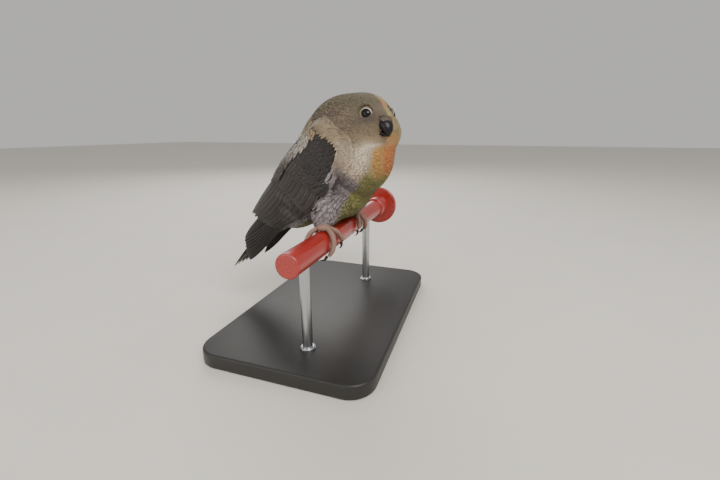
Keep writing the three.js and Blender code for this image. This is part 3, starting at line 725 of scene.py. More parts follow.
def coat_depth(points):
    """Depth of the coat: thin on the face, deep on the body."""
    size = sizes()
    ahead, aside, above = head_place(points)
    reach = np.sqrt((ahead - 6) ** 2 + aside**2 + (above + 4) ** 2)
    return size["coat_face"] + (size["coat_body"] - size["coat_face"]) * step(4, 34, reach)


def off_perch(points, room=0.25):
    """Points moved out of the perch."""
    reach = np.hypot(points[..., 1], points[..., 2] - PERCH_HEIGHT)
    least = PERCH_RADIUS + room
    scale = np.where(reach < least, least / np.maximum(reach, 1e-3), 1.0)
    moved = points.copy()
    moved[..., 1] *= scale
    moved[..., 2] = PERCH_HEIGHT + (points[..., 2] - PERCH_HEIGHT) * scale
    return moved


class LOVEBIRD_OT_skin(bpy.types.Operator):
    """One smooth skin in place of the parts of flesh, inside them by the depth of the coat"""

    bl_idname = "lovebird.skin"
    bl_label = "Skin"

    def execute(self, context):
        copies = []
        for name in FLESH:
            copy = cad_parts[name].copy()
            copy.data = copy.data.copy()
            for key in list(copy.keys()):
                del copy[key]
            copy.parent = None
            context.scene.collection.objects.link(copy)
            copies.append(copy)
        skin = joined("plumage_skin", copies)
        bpy.ops.object.mode_set(mode="EDIT")
        bpy.ops.mesh.select_all(action="SELECT")
        bpy.ops.mesh.remove_doubles(threshold=1e-5)
        bpy.ops.object.mode_set(mode="OBJECT")
        swell = skin.modifiers.new("close gaps", "DISPLACE")
        swell.strength = SWELL * MM
        swell.mid_level = 0.0
        again = skin.modifiers.new("one surface", "REMESH")
        again.mode = "VOXEL"
        again.voxel_size = VOXEL * MM
        apply_modifiers(skin)
        self.keep_largest(skin)
        for _ in range(SKIN_ROUNDS):
            even = skin.modifiers.new("even", "SMOOTH")
            even.factor = 0.5
            even.iterations = 3
            apply_modifiers(skin)
            points = positions(skin)
            settled, _ = FLESH_FIELD.settle(points, -coat_depth(points), 1)
            move = settled - points
            far = np.maximum(np.linalg.norm(move, axis=1, keepdims=True), 1e-9)
            set_positions(skin, off_perch(points + move * np.minimum(1, SKIN_MOVE / far)))
        face_outward(skin)
        bpy.ops.object.mode_set(mode="EDIT")
        bpy.ops.uv.smart_project(angle_limit=math.radians(66), island_margin=0.002)
        bpy.ops.object.mode_set(mode="OBJECT")
        skin.data.uv_layers[0].name = "OFBake"
        all_smooth(skin)
        # The skin takes the coat's colours darkened to 0.8: painted shade in the gaps between the
        # feathers
        paint(skin, "plumage", 0.8 * plumage(positions(skin)))
        finish(skin, plumage_material("shaded_down_skin", False), "flank_feathers", *FLESH)
        return {"FINISHED"}

    def keep_largest(self, skin):
        """Drops what the remesh leaves inside."""
        shape = bmesh.new()
        shape.from_mesh(skin.data)
        shape.verts.ensure_lookup_table()
        group = [-1] * len(shape.verts)
        counts = []
        for first in shape.verts:
            if group[first.index] >= 0:
                continue
            group[first.index] = len(counts)
            waiting, found = [first], 1
            while waiting:
                for link in waiting.pop().link_edges:
                    for end in link.verts:
                        if group[end.index] < 0:
                            group[end.index] = len(counts)
                            waiting.append(end)
                            found += 1
            counts.append(found)
        best = counts.index(max(counts))
        loose = [v for v in shape.verts if group[v.index] != best]
        bmesh.ops.delete(shape, geom=loose, context="VERTS")
        shape.to_mesh(skin.data)
        shape.free()


# The coat of small feathers

# Where the solids part head, neck, torso, belly and rump: a place, pitch and turn for each cut
CUTS = {
    "throat": (on_body(9, 0, 54), heading(66, -16)),
    "collar": (on_body(0, 0, 44), heading(56, -6)),
    "saddle": (on_body(-30, 0, 17), heading(50, 0)),
    "midline": (on_body(6, 9, 26), heading(-10, 62)),
}


def beyond(name, points):
    """Whether points lie past one of the cuts."""
    place, way = CUTS[name]
    return (points - place) @ way > 0


def lie_of_coat(points, up):
    """The way that the feathers point: back from the bill, then down the body to the tail."""
    bill = on_head(9.0, 0.0, -4.0)
    from_bill = unit(points - bill)
    tailward = -heading(52)
    reach = np.linalg.norm(points - bill, axis=-1, keepdims=True)
    share = step(14, 42, reach)
    flow = from_bill * (1 - share) + tailward * share
    return unit(flow - up * (flow * up).sum(-1, keepdims=True))


def feather_size(points):
    """Length of the feathers: short on the face and the shanks, longer down the body."""
    size = sizes()
    ahead, aside, above = head_place(points)
    reach = np.sqrt((ahead - 7) ** 2 + aside**2 + (above + 4) ** 2)
    growth = step(0, 62, reach) ** 0.75
    whole = size["feather_face"] + (size["feather_body"] - size["feather_face"]) * growth
    low = step(7, 17, points[..., 2] - PERCH_HEIGHT)
    return np.where(np.abs(points[..., 1]) < 9, whole * (0.5 + 0.5 * low), whole)


COAT_SAMPLES = 900000  # places on the skin that the roots of the coat are picked from
UNWRAP_SAMPLES = 30000  # and those that give the other feathers their place on the unwrap


def skin_samples(skin, count, rng):
    """Places spread over the skin: points, and where they lie on its unwrap."""
    mesh = skin.data
    mesh.calc_loop_triangles()
    corners = np.empty(len(mesh.loop_triangles) * 3, np.int32)
    mesh.loop_triangles.foreach_get("vertices", corners)
    loops = np.empty(len(corners), np.int32)
    mesh.loop_triangles.foreach_get("loops", loops)
    unwrap = np.empty(len(mesh.loops) * 2, np.float32)
    mesh.uv_layers["OFBake"].data.foreach_get("uv", unwrap)
    shape = positions(skin)[corners.reshape(-1, 3)]
    flat = unwrap.reshape(-1, 2)[loops.reshape(-1, 3)]
    area = np.linalg.norm(np.cross(shape[:, 1] - shape[:, 0], shape[:, 2] - shape[:, 0]), axis=1) / 2
    pick = rng.choice(len(area), count, p=area / area.sum())
    a, b = rng.random(count), rng.random(count)
    fold = a + b > 1
    a, b = np.where(fold, 1 - a, a), np.where(fold, 1 - b, b)
    weight = np.stack([1 - a - b, a, b], 1)
    return (weight[..., None] * shape[pick]).sum(1), (weight[..., None] * flat[pick]).sum(1)


CELL = 0.4  # side of the finest cells in which one root is picked
CELL_GROWTH = 1.2  # from one size of cell to the next


def spread(points, spacing):
    """Picks points about a spacing apart: the one nearest to the middle of each cell."""
    band = np.round(np.log(spacing / CELL) / np.log(CELL_GROWTH))
    cell = CELL * CELL_GROWTH**band
    scaled = points / cell[:, None]
    whole = np.floor(scaled)
    off = ((scaled - whole - 0.5) ** 2).sum(1)
    order = np.argsort(off, kind="stable")
    keys = np.concatenate([whole, band[:, None]], 1)[order]
    _, first = np.unique(keys, axis=0, return_index=True)
    return np.sort(order[first])


BILL_ROOM = (4.0, 3.0, -9.2, -1.4)  # bare skin at the bill: from how far ahead, half width, low, high
HIDDEN = 0.85  # how far inside a wing's edge a feather lies that isn't made


def kept_clear(points, tips):
    """Which feathers are made: those off the eyes and the bill that no wing hides."""
    keep = points[:, 2] > PERCH_HEIGHT + 1
    for side in (-1, 1):
        centre, _ = eye_frame(side)
        keep &= np.linalg.norm(points - centre, axis=1) > LID_EDGE + 0.15
        keep &= np.linalg.norm(tips - centre, axis=1) > LID_EDGE
    hidden = (wing_share(*bed_place(points)) > HIDDEN) & (wing_share(*bed_place(tips)) > HIDDEN)
    ahead, aside, above = head_place(points)
    front, half, low, high = BILL_ROOM
    bill = (ahead > front) & (np.abs(aside) < half) & (above > low) & (above < high)
    return keep & ~hidden & ~bill


WING_FRONT = (-12.5, -6.0)  # where along the body the folded wing's front end begins


def wing_share(along, around):
    """How far inside the edge of a folded wing a place on the bed lies, from 0 to 1."""
    top, _ = arm_edges(along)
    over_top = step(top - 3, top + 11, around)
    return over_top * lower_edge(along, around) * step(*WING_FRONT, along)


def lower_edge(along, around):
    """How far above its lower edge a place on a folded wing lies, from 0 to 1."""
    _, bottom = arm_edges(along)
    bottom = bottom - 0.45 * np.clip(along - ARM["along"][1], 0, None)
    return step(bottom + 11, bottom + 2, around)


WING_TOP = 4.7  # how high the wing's outer face lies over the bed at its full height
OVER_MOST = 5.6  # feathers from deeper under a wing than this stay under it
OVER_BACK = 36.0  # past this far along the body no feather of the coat lies over the wing
OVER_SIDE = 86.0  # above this far around it only those at the shoulder do
OVER_SHOULDER = 6.0
OFF_WING = -9.0  # the height that stands for no wing at all


def over_wing(points):
    """Height over the body at which the outer face of a folded wing lies, or far below it."""
    along, around = bed_place(points)
    share = wing_share(along, around)
    near = (share > 0.01) & (along < OVER_BACK)
    near &= (around > OVER_SIDE) | (along < OVER_SHOULDER)
    height = np.full(points.shape[:-1], OFF_WING)
    if near.any():
        side = np.where(body_place(points[near])[1] < 0, -1, 1)
        along, around, share = along[near], around[near], share[near]
        outer = on_bed(side, along, around, WING_TOP * wing_height(along, around) * share - 0.3)
        height[near] = FLESH_FIELD.height(outer) + 0.3 * share
    return height


# A tuft's cross sections: how far along it each lies and how wide it is there, before its tip
CONTOUR = {"t": (0, 0.28, 0.58, 0.84), "wide": (0.35, 0.85, 1.0, 0.68), "sides": 4}
WISP = {"t": (0, 0.5), "wide": (0.6, 1.0), "sides": 3}
THICKEST = 0.12  # half the most that a tuft is thick
PATCH = 0.0015  # half the side of a tuft's patch on its OFBake map


def stations(form):
    """How far along a tuft its cross sections and its tip lie."""
    return np.array(form["t"] + (1.0,))


def laid_lines(form, roots, length_of, depth, lift, yaw):
    """Lines along the body that feathers follow: each rises out of the skin and then lies along it,
    and over a wing's edge where it reaches one. depth is how deep it is rooted, and lift how high
    its tip stands."""
    _, up = FLESH_FIELD.settle(roots, FLESH_FIELD.height(roots), 1)
    way = lie_of_coat(roots, up)
    across = np.cross(up, way)
    way = way * np.cos(yaw)[:, None] + across * np.sin(yaw)[:, None]
    t = stations(form)[None, :, None]
    line = roots[:, None] + way[:, None] * length_of[:, None, None] * t
    rise = 1 - (1 - t[..., 0]) ** 2
    height = -depth[:, None] + (depth + lift)[:, None] * rise
    line, up = FLESH_FIELD.settle(line, height, 2)
    over = over_wing(line)
    raised = over + 0.25 + lift[:, None]
    late = t[..., 0] > 0.2
    reached = (over > -5) & (over < OVER_MOST) & late
    height = np.where(reached, np.maximum(height, raised), height)
    return FLESH_FIELD.settle(line, height, 2)


def tuft_mesh(name, form, line, up, width_of, shade, unwrap):
    """Many feathers as one mesh: each is a thin closed vane with a flat diamond or triangle for a
    section, which ends in a point."""
    sides, count = form["sides"], len(line)
    tangent = unit(np.gradient(line, axis=1))
    across = unit(np.cross(up, tangent))
    turn = 2 * np.pi * (np.arange(sides) + (0.25 if sides == 3 else 0.0)) / sides
    wide = np.array(form["wide"])[None, :, None] * width_of[:, None, None]
    thick = np.minimum(0.16 * wide, THICKEST)
    ring = (
        line[:, :-1, None]
        + across[:, :-1, None] * (wide * np.cos(turn))[..., None]
        + up[:, :-1, None] * (thick * np.sin(turn))[..., None]
    )
    drop = (wide * np.abs(np.cos(turn))) ** 2 / 30
    ring = ring - up[:, :-1, None] * drop[..., None]
    points = np.concatenate([ring.reshape(count, -1, 3), line[:, -1:]], 1)
    each = points.shape[1]
    n = len(form["t"])
    k = np.arange(sides)
    following = (k + 1) % sides
    quads = []
    for i in range(n - 1):
        near, far = i * sides, (i + 1) * sides
        quads.append(np.stack([near + k, near + following, far + following, far + k], 1))
    last = (n - 1) * sides
    ends = np.stack([last + k, last + following, np.full(sides, each - 1)], 1)
    cap = k[::-1][None]
    starts = (np.arange(count) * each)[:, None, None]

    def repeat(pattern):
        return (starts + pattern).reshape(-1, pattern.shape[1])

    faces = [repeat(np.concatenate(quads)), repeat(ends), repeat(cap)]
    piece = mesh_from(name, off_perch(points.reshape(-1, 3), 0.1), faces)
    along = np.append(np.repeat(form["t"], sides), 1.0)
    aside = np.append(np.tile(np.cos(turn), n), 0.0)
    # Painted shade: each tuft darkens towards its root, where it lies deep under the others
    deep_root_shade = (0.86 + 0.17 * along)[None, :, None]
    paint(piece, "plumage", np.clip(shade[:, None] * deep_root_shade, 0, 1).reshape(-1, 3))
    lie = np.stack([0.5 + 0.5 * aside, along], 1)
    map_uv(piece, "vane", np.tile(lie, (count, 1)))
    patch = np.stack([aside, 2 * along - 1], 1) * PATCH
    map_uv(piece, "OFBake", (unwrap[:, None] + patch).reshape(-1, 2))
    return piece


def skin_unwrap(points):
    """Where the places of the skin nearest to points lie on its unwrap."""
    skin = bpy.data.objects["plumage_skin"]
    places, unwrap = skin_samples(skin, UNWRAP_SAMPLES, np.random.default_rng(SEED))
    tree = KDTree(len(places))
    for number, place in enumerate(places):
        tree.insert(place, number)
    tree.balance()
    return unwrap[[tree.find(point)[1] for point in points]]


def staggered(rows, across):
    """Rows of places, each row half a step off the one before: the number of each place's row, and
    how far across it lies from 0 to 1."""
    i, j = (part.ravel() for part in np.meshgrid(np.arange(rows), np.arange(across), indexing="ij"))
    return i, (j + 0.5 * (i % 2)) / across


def wing_tone(side):
    """The colour of the wing at the bird's right (-1) or left (1)."""
    return colours()["wing" if side < 0 else "far_wing"]


# The coat's layers. Spacing, width and length are shares of a feather's size at its place, root is
# how deep in the coat it is rooted, and uneven is how much its brightness varies.
LAYERS = [
    {"name": "feathers", "form": CONTOUR, "spacing": 0.225, "least": 0.42, "width": 0.16,
     "length": 1.05, "root": 0.7, "uneven": 0.025},
    {"name": "barbs", "form": WISP, "spacing": 0.088, "least": 0.36, "width": 0.04,
     "length": 0.85, "root": 0.45, "uneven": 0.035},
]
PIECE_TUFTS = 18000  # the most tufts in one piece, which keeps it under 200,000 triangles
LEAST_WISP = 0.09  # half the width of the finest wisp


class LOVEBIRD_OT_coat(bpy.types.Operator):
    """Small feathers and loose barbs over the whole skin, in one piece for each part of the body"""

    bl_idname = "lovebird.coat"
    bl_label = "Coat"

    def execute(self, context):
        rng = np.random.default_rng(SEED)
        skin = bpy.data.objects["plumage_skin"]
        feather = plumage_material("contour_feathers", True)
        loose = plumage_material("loose_barbs", False)
        places, unwrap = skin_samples(skin, COAT_SAMPLES, rng)
        size = feather_size(places)
        for layer in LAYERS:
            form = layer["form"]
            picked = spread(places, np.maximum(layer["spacing"] * size, layer["least"]))
            length_of = size[picked] * layer["length"] * rng.uniform(0.8, 1.2, len(picked))
            roots, flat = places[picked], unwrap[picked]
            _, up = FLESH_FIELD.settle(roots, FLESH_FIELD.height(roots), 1)
            tips = roots + lie_of_coat(roots, up) * length_of[:, None]
            keep = kept_clear(roots, tips)
            roots, flat, length_of = roots[keep], flat[keep], length_of[keep]
            count = len(roots)
            depth = coat_depth(roots) * layer["root"]
            width_of = size[picked][keep] * layer["width"] * rng.uniform(0.8, 1.2, count)
            if form is WISP:
                width_of = np.clip(width_of, LEAST_WISP, sizes()["wisp_width"])
                lift = 0.03 + 0.08 * rng.random(count) * np.minimum(1, length_of / 3)
                yaw = rng.normal(0, 0.05, count)
            else:
                lift = rng.uniform(-0.05, 0.01, count) * np.minimum(1, length_of / 4)
                yaw = rng.normal(0, 0.03, count)
            tint = 1 + layer["uneven"] * rng.standard_normal(count)[:, None]
            warm = 1 + 0.02 * rng.standard_normal((count, 1)) * np.array([1, 0, -1])
            shade = plumage(roots + up[keep] * depth[:, None]) * np.clip(tint, 0.6, 1.5) * warm
            part = self.parts(roots)
            for number, (name, slot) in enumerate(PARTS):
                here = np.flatnonzero(part == number)
                pieces = np.array_split(here, 1 + len(here) // PIECE_TUFTS)
                for piece, some in enumerate(pieces, 1):
                    if not len(some):
                        continue
                    line, over = laid_lines(
                        form, roots[some], length_of[some], depth[some], lift[some], yaw[some]
                    )
                    made = tuft_mesh(
                        f"{name}_{layer['name']}_{piece}", form, line, over, width_of[some],
                        shade[some], flat[some],
                    )
                    finish(made, loose if form is WISP else feather, slot)
        self.scapulars(rng, feather)
        return {"FINISHED"}

    def scapulars(self, rng, surface):
        """Longer soft feathers of the back that fan out over the upper edges of the wings."""
        for name, side in (("right", -1), ("left", 1)):
            i, s = staggered(17, 12)
            along = -7 + 1.9 * i + rng.normal(0, 0.4, len(i))
            top, _ = arm_edges(along)
            around = 3 + (top + 8) * s + rng.normal(0, 1.5, len(i))
            size = 7.0 + 0.22 * i + rng.normal(0, 0.4, len(i))
            t = stations(CONTOUR)[None]
            line_along = along[:, None] + size[:, None] * t
            line_around = around[:, None] + (4 + 12 * s[:, None]) * t
            share = wing_share(line_along, line_around)
            height = WING_TOP * wing_height(line_along, line_around) * share
            line = on_bed(side, line_along, line_around, height + 0.3 - 1.3 * (1 - t) ** 2)
            up = unit(BED_FIELD.slope(line))
            late = 0.9 * step(8, 24, along + 8 * s)[:, None]
            shade = plumage(line[:, 1]) * (1 - late) + wing_tone(side) * 1.25 * late
            shade = shade * (1 + 0.04 * rng.standard_normal((len(i), 1)))
            width_of = 0.2 * size * rng.uniform(0.9, 1.1, len(i))
            made = tuft_mesh(
                f"scapulars_{name}", CONTOUR, line, up, width_of, shade, skin_unwrap(line[:, 0])
            )
            finish(made, surface, "flank_feathers")

    def parts(self, points):
        """Which part of the body each point belongs to, as the solids part it."""
        part = np.full(len(points), 2)
        part[beyond("midline", points)] = 3
        part[~beyond("saddle", points)] = 4
        part[beyond("collar", points)] = 1
        part[beyond("throat", points)] = 0
        return part


PARTS = [
    ("head", "head_feathers"),
    ("neck", "breast_feathers"),
    ("torso", "flank_feathers"),
    ("belly", "belly_feathers"),
    ("rump", "flank_feathers"),
]


# Flight, covert and tail feathers

PRIMARY = [(0, 0.42), (0.12, 0.75), (0.35, 1), (0.7, 0.9), (0.86, 0.64), (0.95, 0.34), (1, 0.06)]
COVERT = [(0, 0.45), (0.15, 0.82), (0.45, 1), (0.75, 0.95), (0.9, 0.68), (0.97, 0.38), (1, 0.1)]

# Tiers of a folded wing: how many feathers, where the lowest and the highest start and end along
# and around the bed, their width and height over it, their outline and their tone
TIERS = [
    (9, (30, 122), (38, 90), (93, 88), (80, 50), 6.6, 1.7, PRIMARY, "flight"),
    (10, (20, 119), (19, 50), (58, 112), (64, 34), 8.4, 2.6, PRIMARY, "wing"),
    (11, (13, 118), (12, 50), (33, 120), (37, 42), 7.6, 3.3, COVERT, "wing"),
    (11, (7, 116), (8, 54), (20, 119), (25, 46), 7.2, 3.9, COVERT, "wing"),
]
# A wing rises out of the shoulder's plumage: where along the body it does so, and the share of its
# height that it has before that
RISE = (2.0, 32.0, 0.32)
COLUMNS = (-1.0, -0.5, 0.0, 0.5, 1.0)  # the points across a long feather, from edge to edge


def vane_mesh(name, outlines, place, thickness):
    """Long feathers as one mesh. place gives points for arrays of feather, way along, share of the
    half width and height. Also gives how far along and across its feather each point lies."""
    count = len(outlines)
    rows = max(len(outline) for outline in outlines) * 2 - 1
    fine = np.array([smooth_line(outline, rows) for outline in outlines])
    t = fine[..., :1]
    side = np.array(COLUMNS)[None, None, :]
    wide = np.maximum(fine[..., 1:], 0.08) * side
    number = np.arange(count)[:, None, None]
    lens = thickness * (0.25 + 0.75 * (1 - side**2)) * (1 - 0.5 * t)
    top = place(number, t, wide, np.zeros_like(lens))
    under = place(number, t, wide, -lens)
    points = np.stack([top, under], 1)
    columns = len(COLUMNS)
    each = 2 * rows * columns
    i, j = np.meshgrid(np.arange(rows - 1), np.arange(columns - 1), indexing="ij")
    a = (i * columns + j).ravel()
    upper = np.stack([a, a + 1, a + columns + 1, a + columns], 1)
    off = rows * columns
    lower = upper[:, ::-1] + off
    edges = []
    rim = [
        [k * columns for k in range(rows)],
        [k * columns + columns - 1 for k in range(rows)],
        list(range(columns)),
        [(rows - 1) * columns + k for k in range(columns)],
    ]
    for line, turned_round in zip(rim, (False, True, True, False)):
        for p, q in zip(line, line[1:]):
            quad = [p, q, q + off, p + off]
            edges.append(quad[::-1] if turned_round else quad)
    pattern = np.concatenate([upper, lower, np.array(edges)])
    faces = ((np.arange(count) * each)[:, None, None] + pattern).reshape(-1, 4)
    piece = mesh_from(name, points.reshape(-1, 3), [faces])
    face_outward(piece)
    u = np.broadcast_to(0.5 + 0.5 * side, top.shape[:-1])
    v = np.broadcast_to(t, top.shape[:-1])
    lie = np.stack([u, v], -1)
    map_uv(piece, "vane", np.stack([lie, lie], 1).reshape(-1, 2))
    cells = math.ceil(math.sqrt(count))
    corner = np.stack([number[:, 0, 0] % cells, number[:, 0, 0] // cells], 1)[:, None, None, None]
    halves = np.array([0.0, 0.5])[None, :, None, None, None] * np.array([1, 0])
    local = np.stack([lie, lie], 1) * np.array([0.46, 0.96]) + halves + 0.02
    map_uv(piece, "OFBake", ((corner + local) / cells).reshape(-1, 2))
    return piece, t, u


def wing_height(along, around):
    """How much of its full height a wing has at a place: less at the shoulder and its front edge."""
    start, end, least = RISE
    rise = least + (1 - least) * step(start, end, along)
    return rise * (1 - 0.45 * step(118, 140, around) * step(50, 25, along))


def bed_feathers(name, side, tiers, rng):
    """The feathers of a folded wing, laid on the bed tier over tier."""
    tones = {"flight": colours()["flight"], "wing": wing_tone(side)}
    rows = []
    for count, root_a, root_b, tip_a, tip_b, width, height, outline, tone in tiers:
        for i in range(count):
            s = i / (count - 1)
            root = [a + (b - a) * s for a, b in zip(root_a, root_b)]
            tip = [a + (b - a) * s for a, b in zip(tip_a, tip_b)]
            jitter = rng.normal(0, 1, 4) * (0.25, 0.6, 0.35, 0.7)
            rows.append((*(np.array(root + tip) + jitter), width, height + 0.02 * i, outline, tone))
    data = np.array([row[:6] for row in rows])

    def place(number, t, part, lift):
        r = data[number[:, 0, 0]][:, :, None, None]
        along = r[:, 0] + (r[:, 2] - r[:, 0]) * t
        around = r[:, 1] + (r[:, 3] - r[:, 1]) * t
        middle = on_bed(side, along[..., 0], around[..., 0], 0.0)
        axis = on_body(
            LINE_FROM[0] - math.cos(LINE_PITCH) * along[..., 0], 0.0,
            LINE_FROM[1] - math.sin(LINE_PITCH) * along[..., 0],
        )
        reach = np.linalg.norm(middle - axis, axis=-1)[..., None]
        half = np.degrees(r[:, 4] / 2 / reach)
        turn = around + part * half
        upper, _ = arm_edges(along)
        inside = step(upper - 13, upper + 1, turn)
        tucked = (0.1 + 0.9 * lower_edge(along, turn)) * (inside + (1 - inside) * step(20, 38, along))
        height = (r[:, 5] + 0.55 * part - 0.3 * part**2) * wing_height(along, turn) * tucked + lift
        return on_bed(side, along, turn, height)

    piece, t, u = vane_mesh(name, [row[6] for row in rows], place, sizes()["vane_thickness"])
    base = np.array([tones[row[7]] for row in rows])
    base = base * (1 + 0.1 * rng.standard_normal((len(rows), 1)))
    # Painted shade: each long feather darkens towards its root, where the tier above covers it
    covered_root_shade = 0.8 + 0.3 * np.broadcast_to(t, u.shape)[..., None]
    shade = base[:, None, None] * covered_root_shade
    paint(piece, "plumage", np.clip(np.stack([shade, shade], 1), 0, 1).reshape(-1, 3))
    return piece


# The arm under the feathers: how far along the bed, its edges around it, and its thickness
ARM = {"along": (-10.0, 30.0), "top": (68.0, 40.0), "bottom": (121.0, 132.0), "thick": 3.0}


def arm_edges(along):
    """Where the arm's upper and lower edges lie around the bed."""
    start, end = ARM["along"]
    t = np.sqrt(np.clip((along - start) / (end - start), 0, 1))
    return [ARM[edge][0] + (ARM[edge][1] - ARM[edge][0]) * t for edge in ("top", "bottom")]


def wing_pad(name, side):
    """The arm under the wing's feathers, a smooth pad on the bed."""
    rows, columns = 22, 16
    t = np.linspace(0, 1, rows)[:, None]
    s = np.linspace(0, 1, columns)[None]
    along = ARM["along"][0] + (ARM["along"][1] - ARM["along"][0]) * t
    top, bottom = arm_edges(along)
    around = bottom + (top - bottom) * s
    dome = (1 - (2 * s - 1) ** 4) * (1 - (2 * t - 1) ** 6)
    outer = on_bed(side, along, around, 0.3 + ARM["thick"] * dome * wing_height(along, around))
    inner = on_bed(side, along, around, 0.1 + 0 * dome)
    rings = np.concatenate([outer, inner[:, ::-1]], 1)
    pad = drawn_out(name, list(rings))
    # The pad takes the wing's colour darkened to 0.85: painted shade under the feathers
    paint(pad, "plumage", np.tile(wing_tone(side) * 0.85, (len(pad.data.vertices), 1)))
    return pad


class LOVEBIRD_OT_wings(bpy.types.Operator):
    """Both folded wings: an arm, flight feathers, tiers of coverts and small coverts at the front"""

    bl_idname = "lovebird.wings"
    bl_label = "Wings"

    def execute(self, context):
        rng = np.random.default_rng(SEED + 1)
        for name, side, slot, fringe in (
            ("right", -1, "grey_wing_feathers", "wing_fringe"),
            ("left", 1, "green_wing_feathers", "far_fringe"),
        ):
            surface = vane_material(f"{name}_flight_feathers", fringe)
            down = plumage_material(f"{name}_shaded_wing_down", False)
            vanes = bed_feathers(f"wing_vanes_{name}", side, TIERS, rng)
            finish(vanes, surface, slot, f"wing_{name}")
            finish(wing_pad(f"wing_arm_{name}", side), down, slot)
            cover = self.small_coverts(f"wing_coverts_{name}", side, rng)
            finish(cover, plumage_material(f"{name}_small_coverts", True), slot)
        return {"FINISHED"}

    def small_coverts(self, name, side, rng):
        """Rows of small soft feathers from the wing's front end to its larger coverts."""
        i, s = staggered(13, 17)
        along = -8 + 1.65 * i + rng.normal(0, 0.35, len(i))
        top, bottom = arm_edges(along)
        around = bottom - 1 + (top - bottom - 1) * s + rng.normal(0, 0.8, len(i))
        t = stations(CONTOUR)[None]
        size = 5.2 + 0.25 * i + rng.normal(0, 0.3, len(i))
        line_along = along[:, None] + size[:, None] * t
        line_around = around[:, None] + 3.0 * t * (s[:, None] - 0.4)
        height = 4.0 * wing_height(line_along, line_around) * wing_share(line_along, line_around)
        line = on_bed(side, line_along, line_around, height + 0.12 - 0.35 * (1 - t) ** 2)
        up = unit(BED_FIELD.slope(line))
        shade = wing_tone(side) * (1 + 0.1 * rng.standard_normal((len(i), 1)))
        return tuft_mesh(name, CONTOUR, line, up, 0.3 * size, shade, skin_unwrap(line[:, 0]))


# The tail: its root (forward and up), the way it points, its length, how far each outer feather is
# turned out, and half the width of a feather
TAIL_ROOT = (-44.0, 8.0)
TAIL_PITCH = math.radians(-131)
TAIL_LENGTH = 53.0
TAIL_SPREAD = 10.0
TAIL_WIDTH = 3.4


def on_tail(along, left, level):
    """Places along the tail from its root, to its left and above it."""
    return on_body(
        TAIL_ROOT[0] + along * math.cos(TAIL_PITCH) + level * math.sin(TAIL_PITCH),
        left,
        TAIL_ROOT[1] + along * math.sin(TAIL_PITCH) - level * math.cos(TAIL_PITCH),
    )


class LOVEBIRD_OT_tail(bpy.types.Operator):
    """The tail: feathers in a narrow fan, the middle pair longest and on top"""

    bl_idname = "lovebird.tail"
    bl_label = "Tail"

    def execute(self, context):
        rng = np.random.default_rng(SEED + 2)
        count = context.scene.lovebird_sizes.tail_feathers
        half = count // 2
        side = np.where(np.arange(count) < half, -1, 1)
        rank = np.where(np.arange(count) < half, np.arange(count), count - 1 - np.arange(count))
        out = 1 - rank / (half - 1)
        long = TAIL_LENGTH * (1 - 0.3 * out**1.4)
        turn = np.radians(side * (1.2 + TAIL_SPREAD * out))

        def place(number, t, part, lift):
            n = number[:, 0, 0]
            s = t * long[n][:, None, None]
            across = part * side[n][:, None, None] * TAIL_WIDTH
            angle = turn[n][:, None, None]
            along = s * np.cos(angle) - across * np.sin(angle)
            left = side[n][:, None, None] * 0.8 + s * np.sin(angle) + across * np.cos(angle)
            order = (half - 1 - rank[n])[:, None, None]
            level = -0.5 * order + 0.3 * part - 0.03 * left**2 + lift - 0.15 * part**2
            return on_tail(along, left, level)

        vanes, t, u = vane_mesh("tail_vanes", [PRIMARY] * count, place, sizes()["vane_thickness"])
        tone = colours()
        base = np.tile(tone["tail"], (count, 1)) * (1 + 0.1 * rng.standard_normal((count, 1)))
        shade = np.broadcast_to(base[:, None, None], (*u.shape, 3))
        paint(vanes, "plumage", np.clip(np.stack([shade, shade], 1), 0, 1).reshape(-1, 3))
        line = smooth_line([on_body(-38, 0, 15), on_body(-45, 0, 6), on_body(-53, 0, -5)], 16)
        root = drawn_out("tail_root", list(tube(line, np.linspace(4.6, 1.2, 16), 20)))
        paint(root, "plumage", np.tile(tone["tail"], (len(root.data.vertices), 1)))
        finish(vanes, vane_material("tail_feathers", "tail_fringe"), "tail_feathers", "tail")
        finish(root, plumage_material("tail_down", False), "tail_feathers")
        finish(self.coverts(rng), plumage_material("tail_coverts", True), "tail_feathers")
        return {"FINISHED"}

    def coverts(self, rng):
        """Soft feathers all round the tail's root: dark above, pale grey below."""
        i, s = staggered(9, 15)
        theta = np.radians(360 * s + rng.normal(0, 4, len(i)))[:, None]
        size = (8.0 + 0.3 * i + rng.normal(0, 0.5, len(i)))[:, None]
        t = stations(CONTOUR)[None]
        along = -8 + 2.0 * i[:, None] + size * t
        radius = np.maximum(4.6 - 0.18 * along, 2.0) - 0.5 * (1 - t) ** 2 + 0.2
        left = radius * np.sin(theta) * 1.15
        line = on_tail(along, left, -0.56 - 0.115 * along + radius * np.cos(theta))
        base = on_tail(0.0, 0.0, 0.0)
        over, sideways = on_tail(0.0, 0.0, 1.0) - base, on_tail(0.0, 1.0, 0.0) - base
        up = np.cos(theta)[..., None] * over + np.sin(theta)[..., None] * sideways
        up = np.broadcast_to(up, line.shape)
        tone = colours()
        above = step(-0.5, 0.3, np.cos(theta))
        shade = tone["rump"] * 0.6 * above + tone["flank"] * 0.7 * (1 - above)
        shade = shade * (1 + 0.08 * rng.standard_normal((len(i), 1)))
        width_of = 0.19 * size[:, 0]
        return tuft_mesh("tail_coverts", CONTOUR, line, up, width_of, shade, skin_unwrap(line[:, 0]))


# Eyes

LID_EDGE = 3.85  # how far from the middle of the eyeball the face's feathers begin
CORNEA = (2.2, 0.3)  # radius of the cornea and how far it bulges off the eyeball
PUPIL = (1.55, 1.35)  # radii where the iris ends and the pupil is fully black
PUPIL_TONE = 0.002
UPPER_LID = 0.28  # how far the upper lid is lowered
BROW = 0.2  # how much wider the ring is above the eye


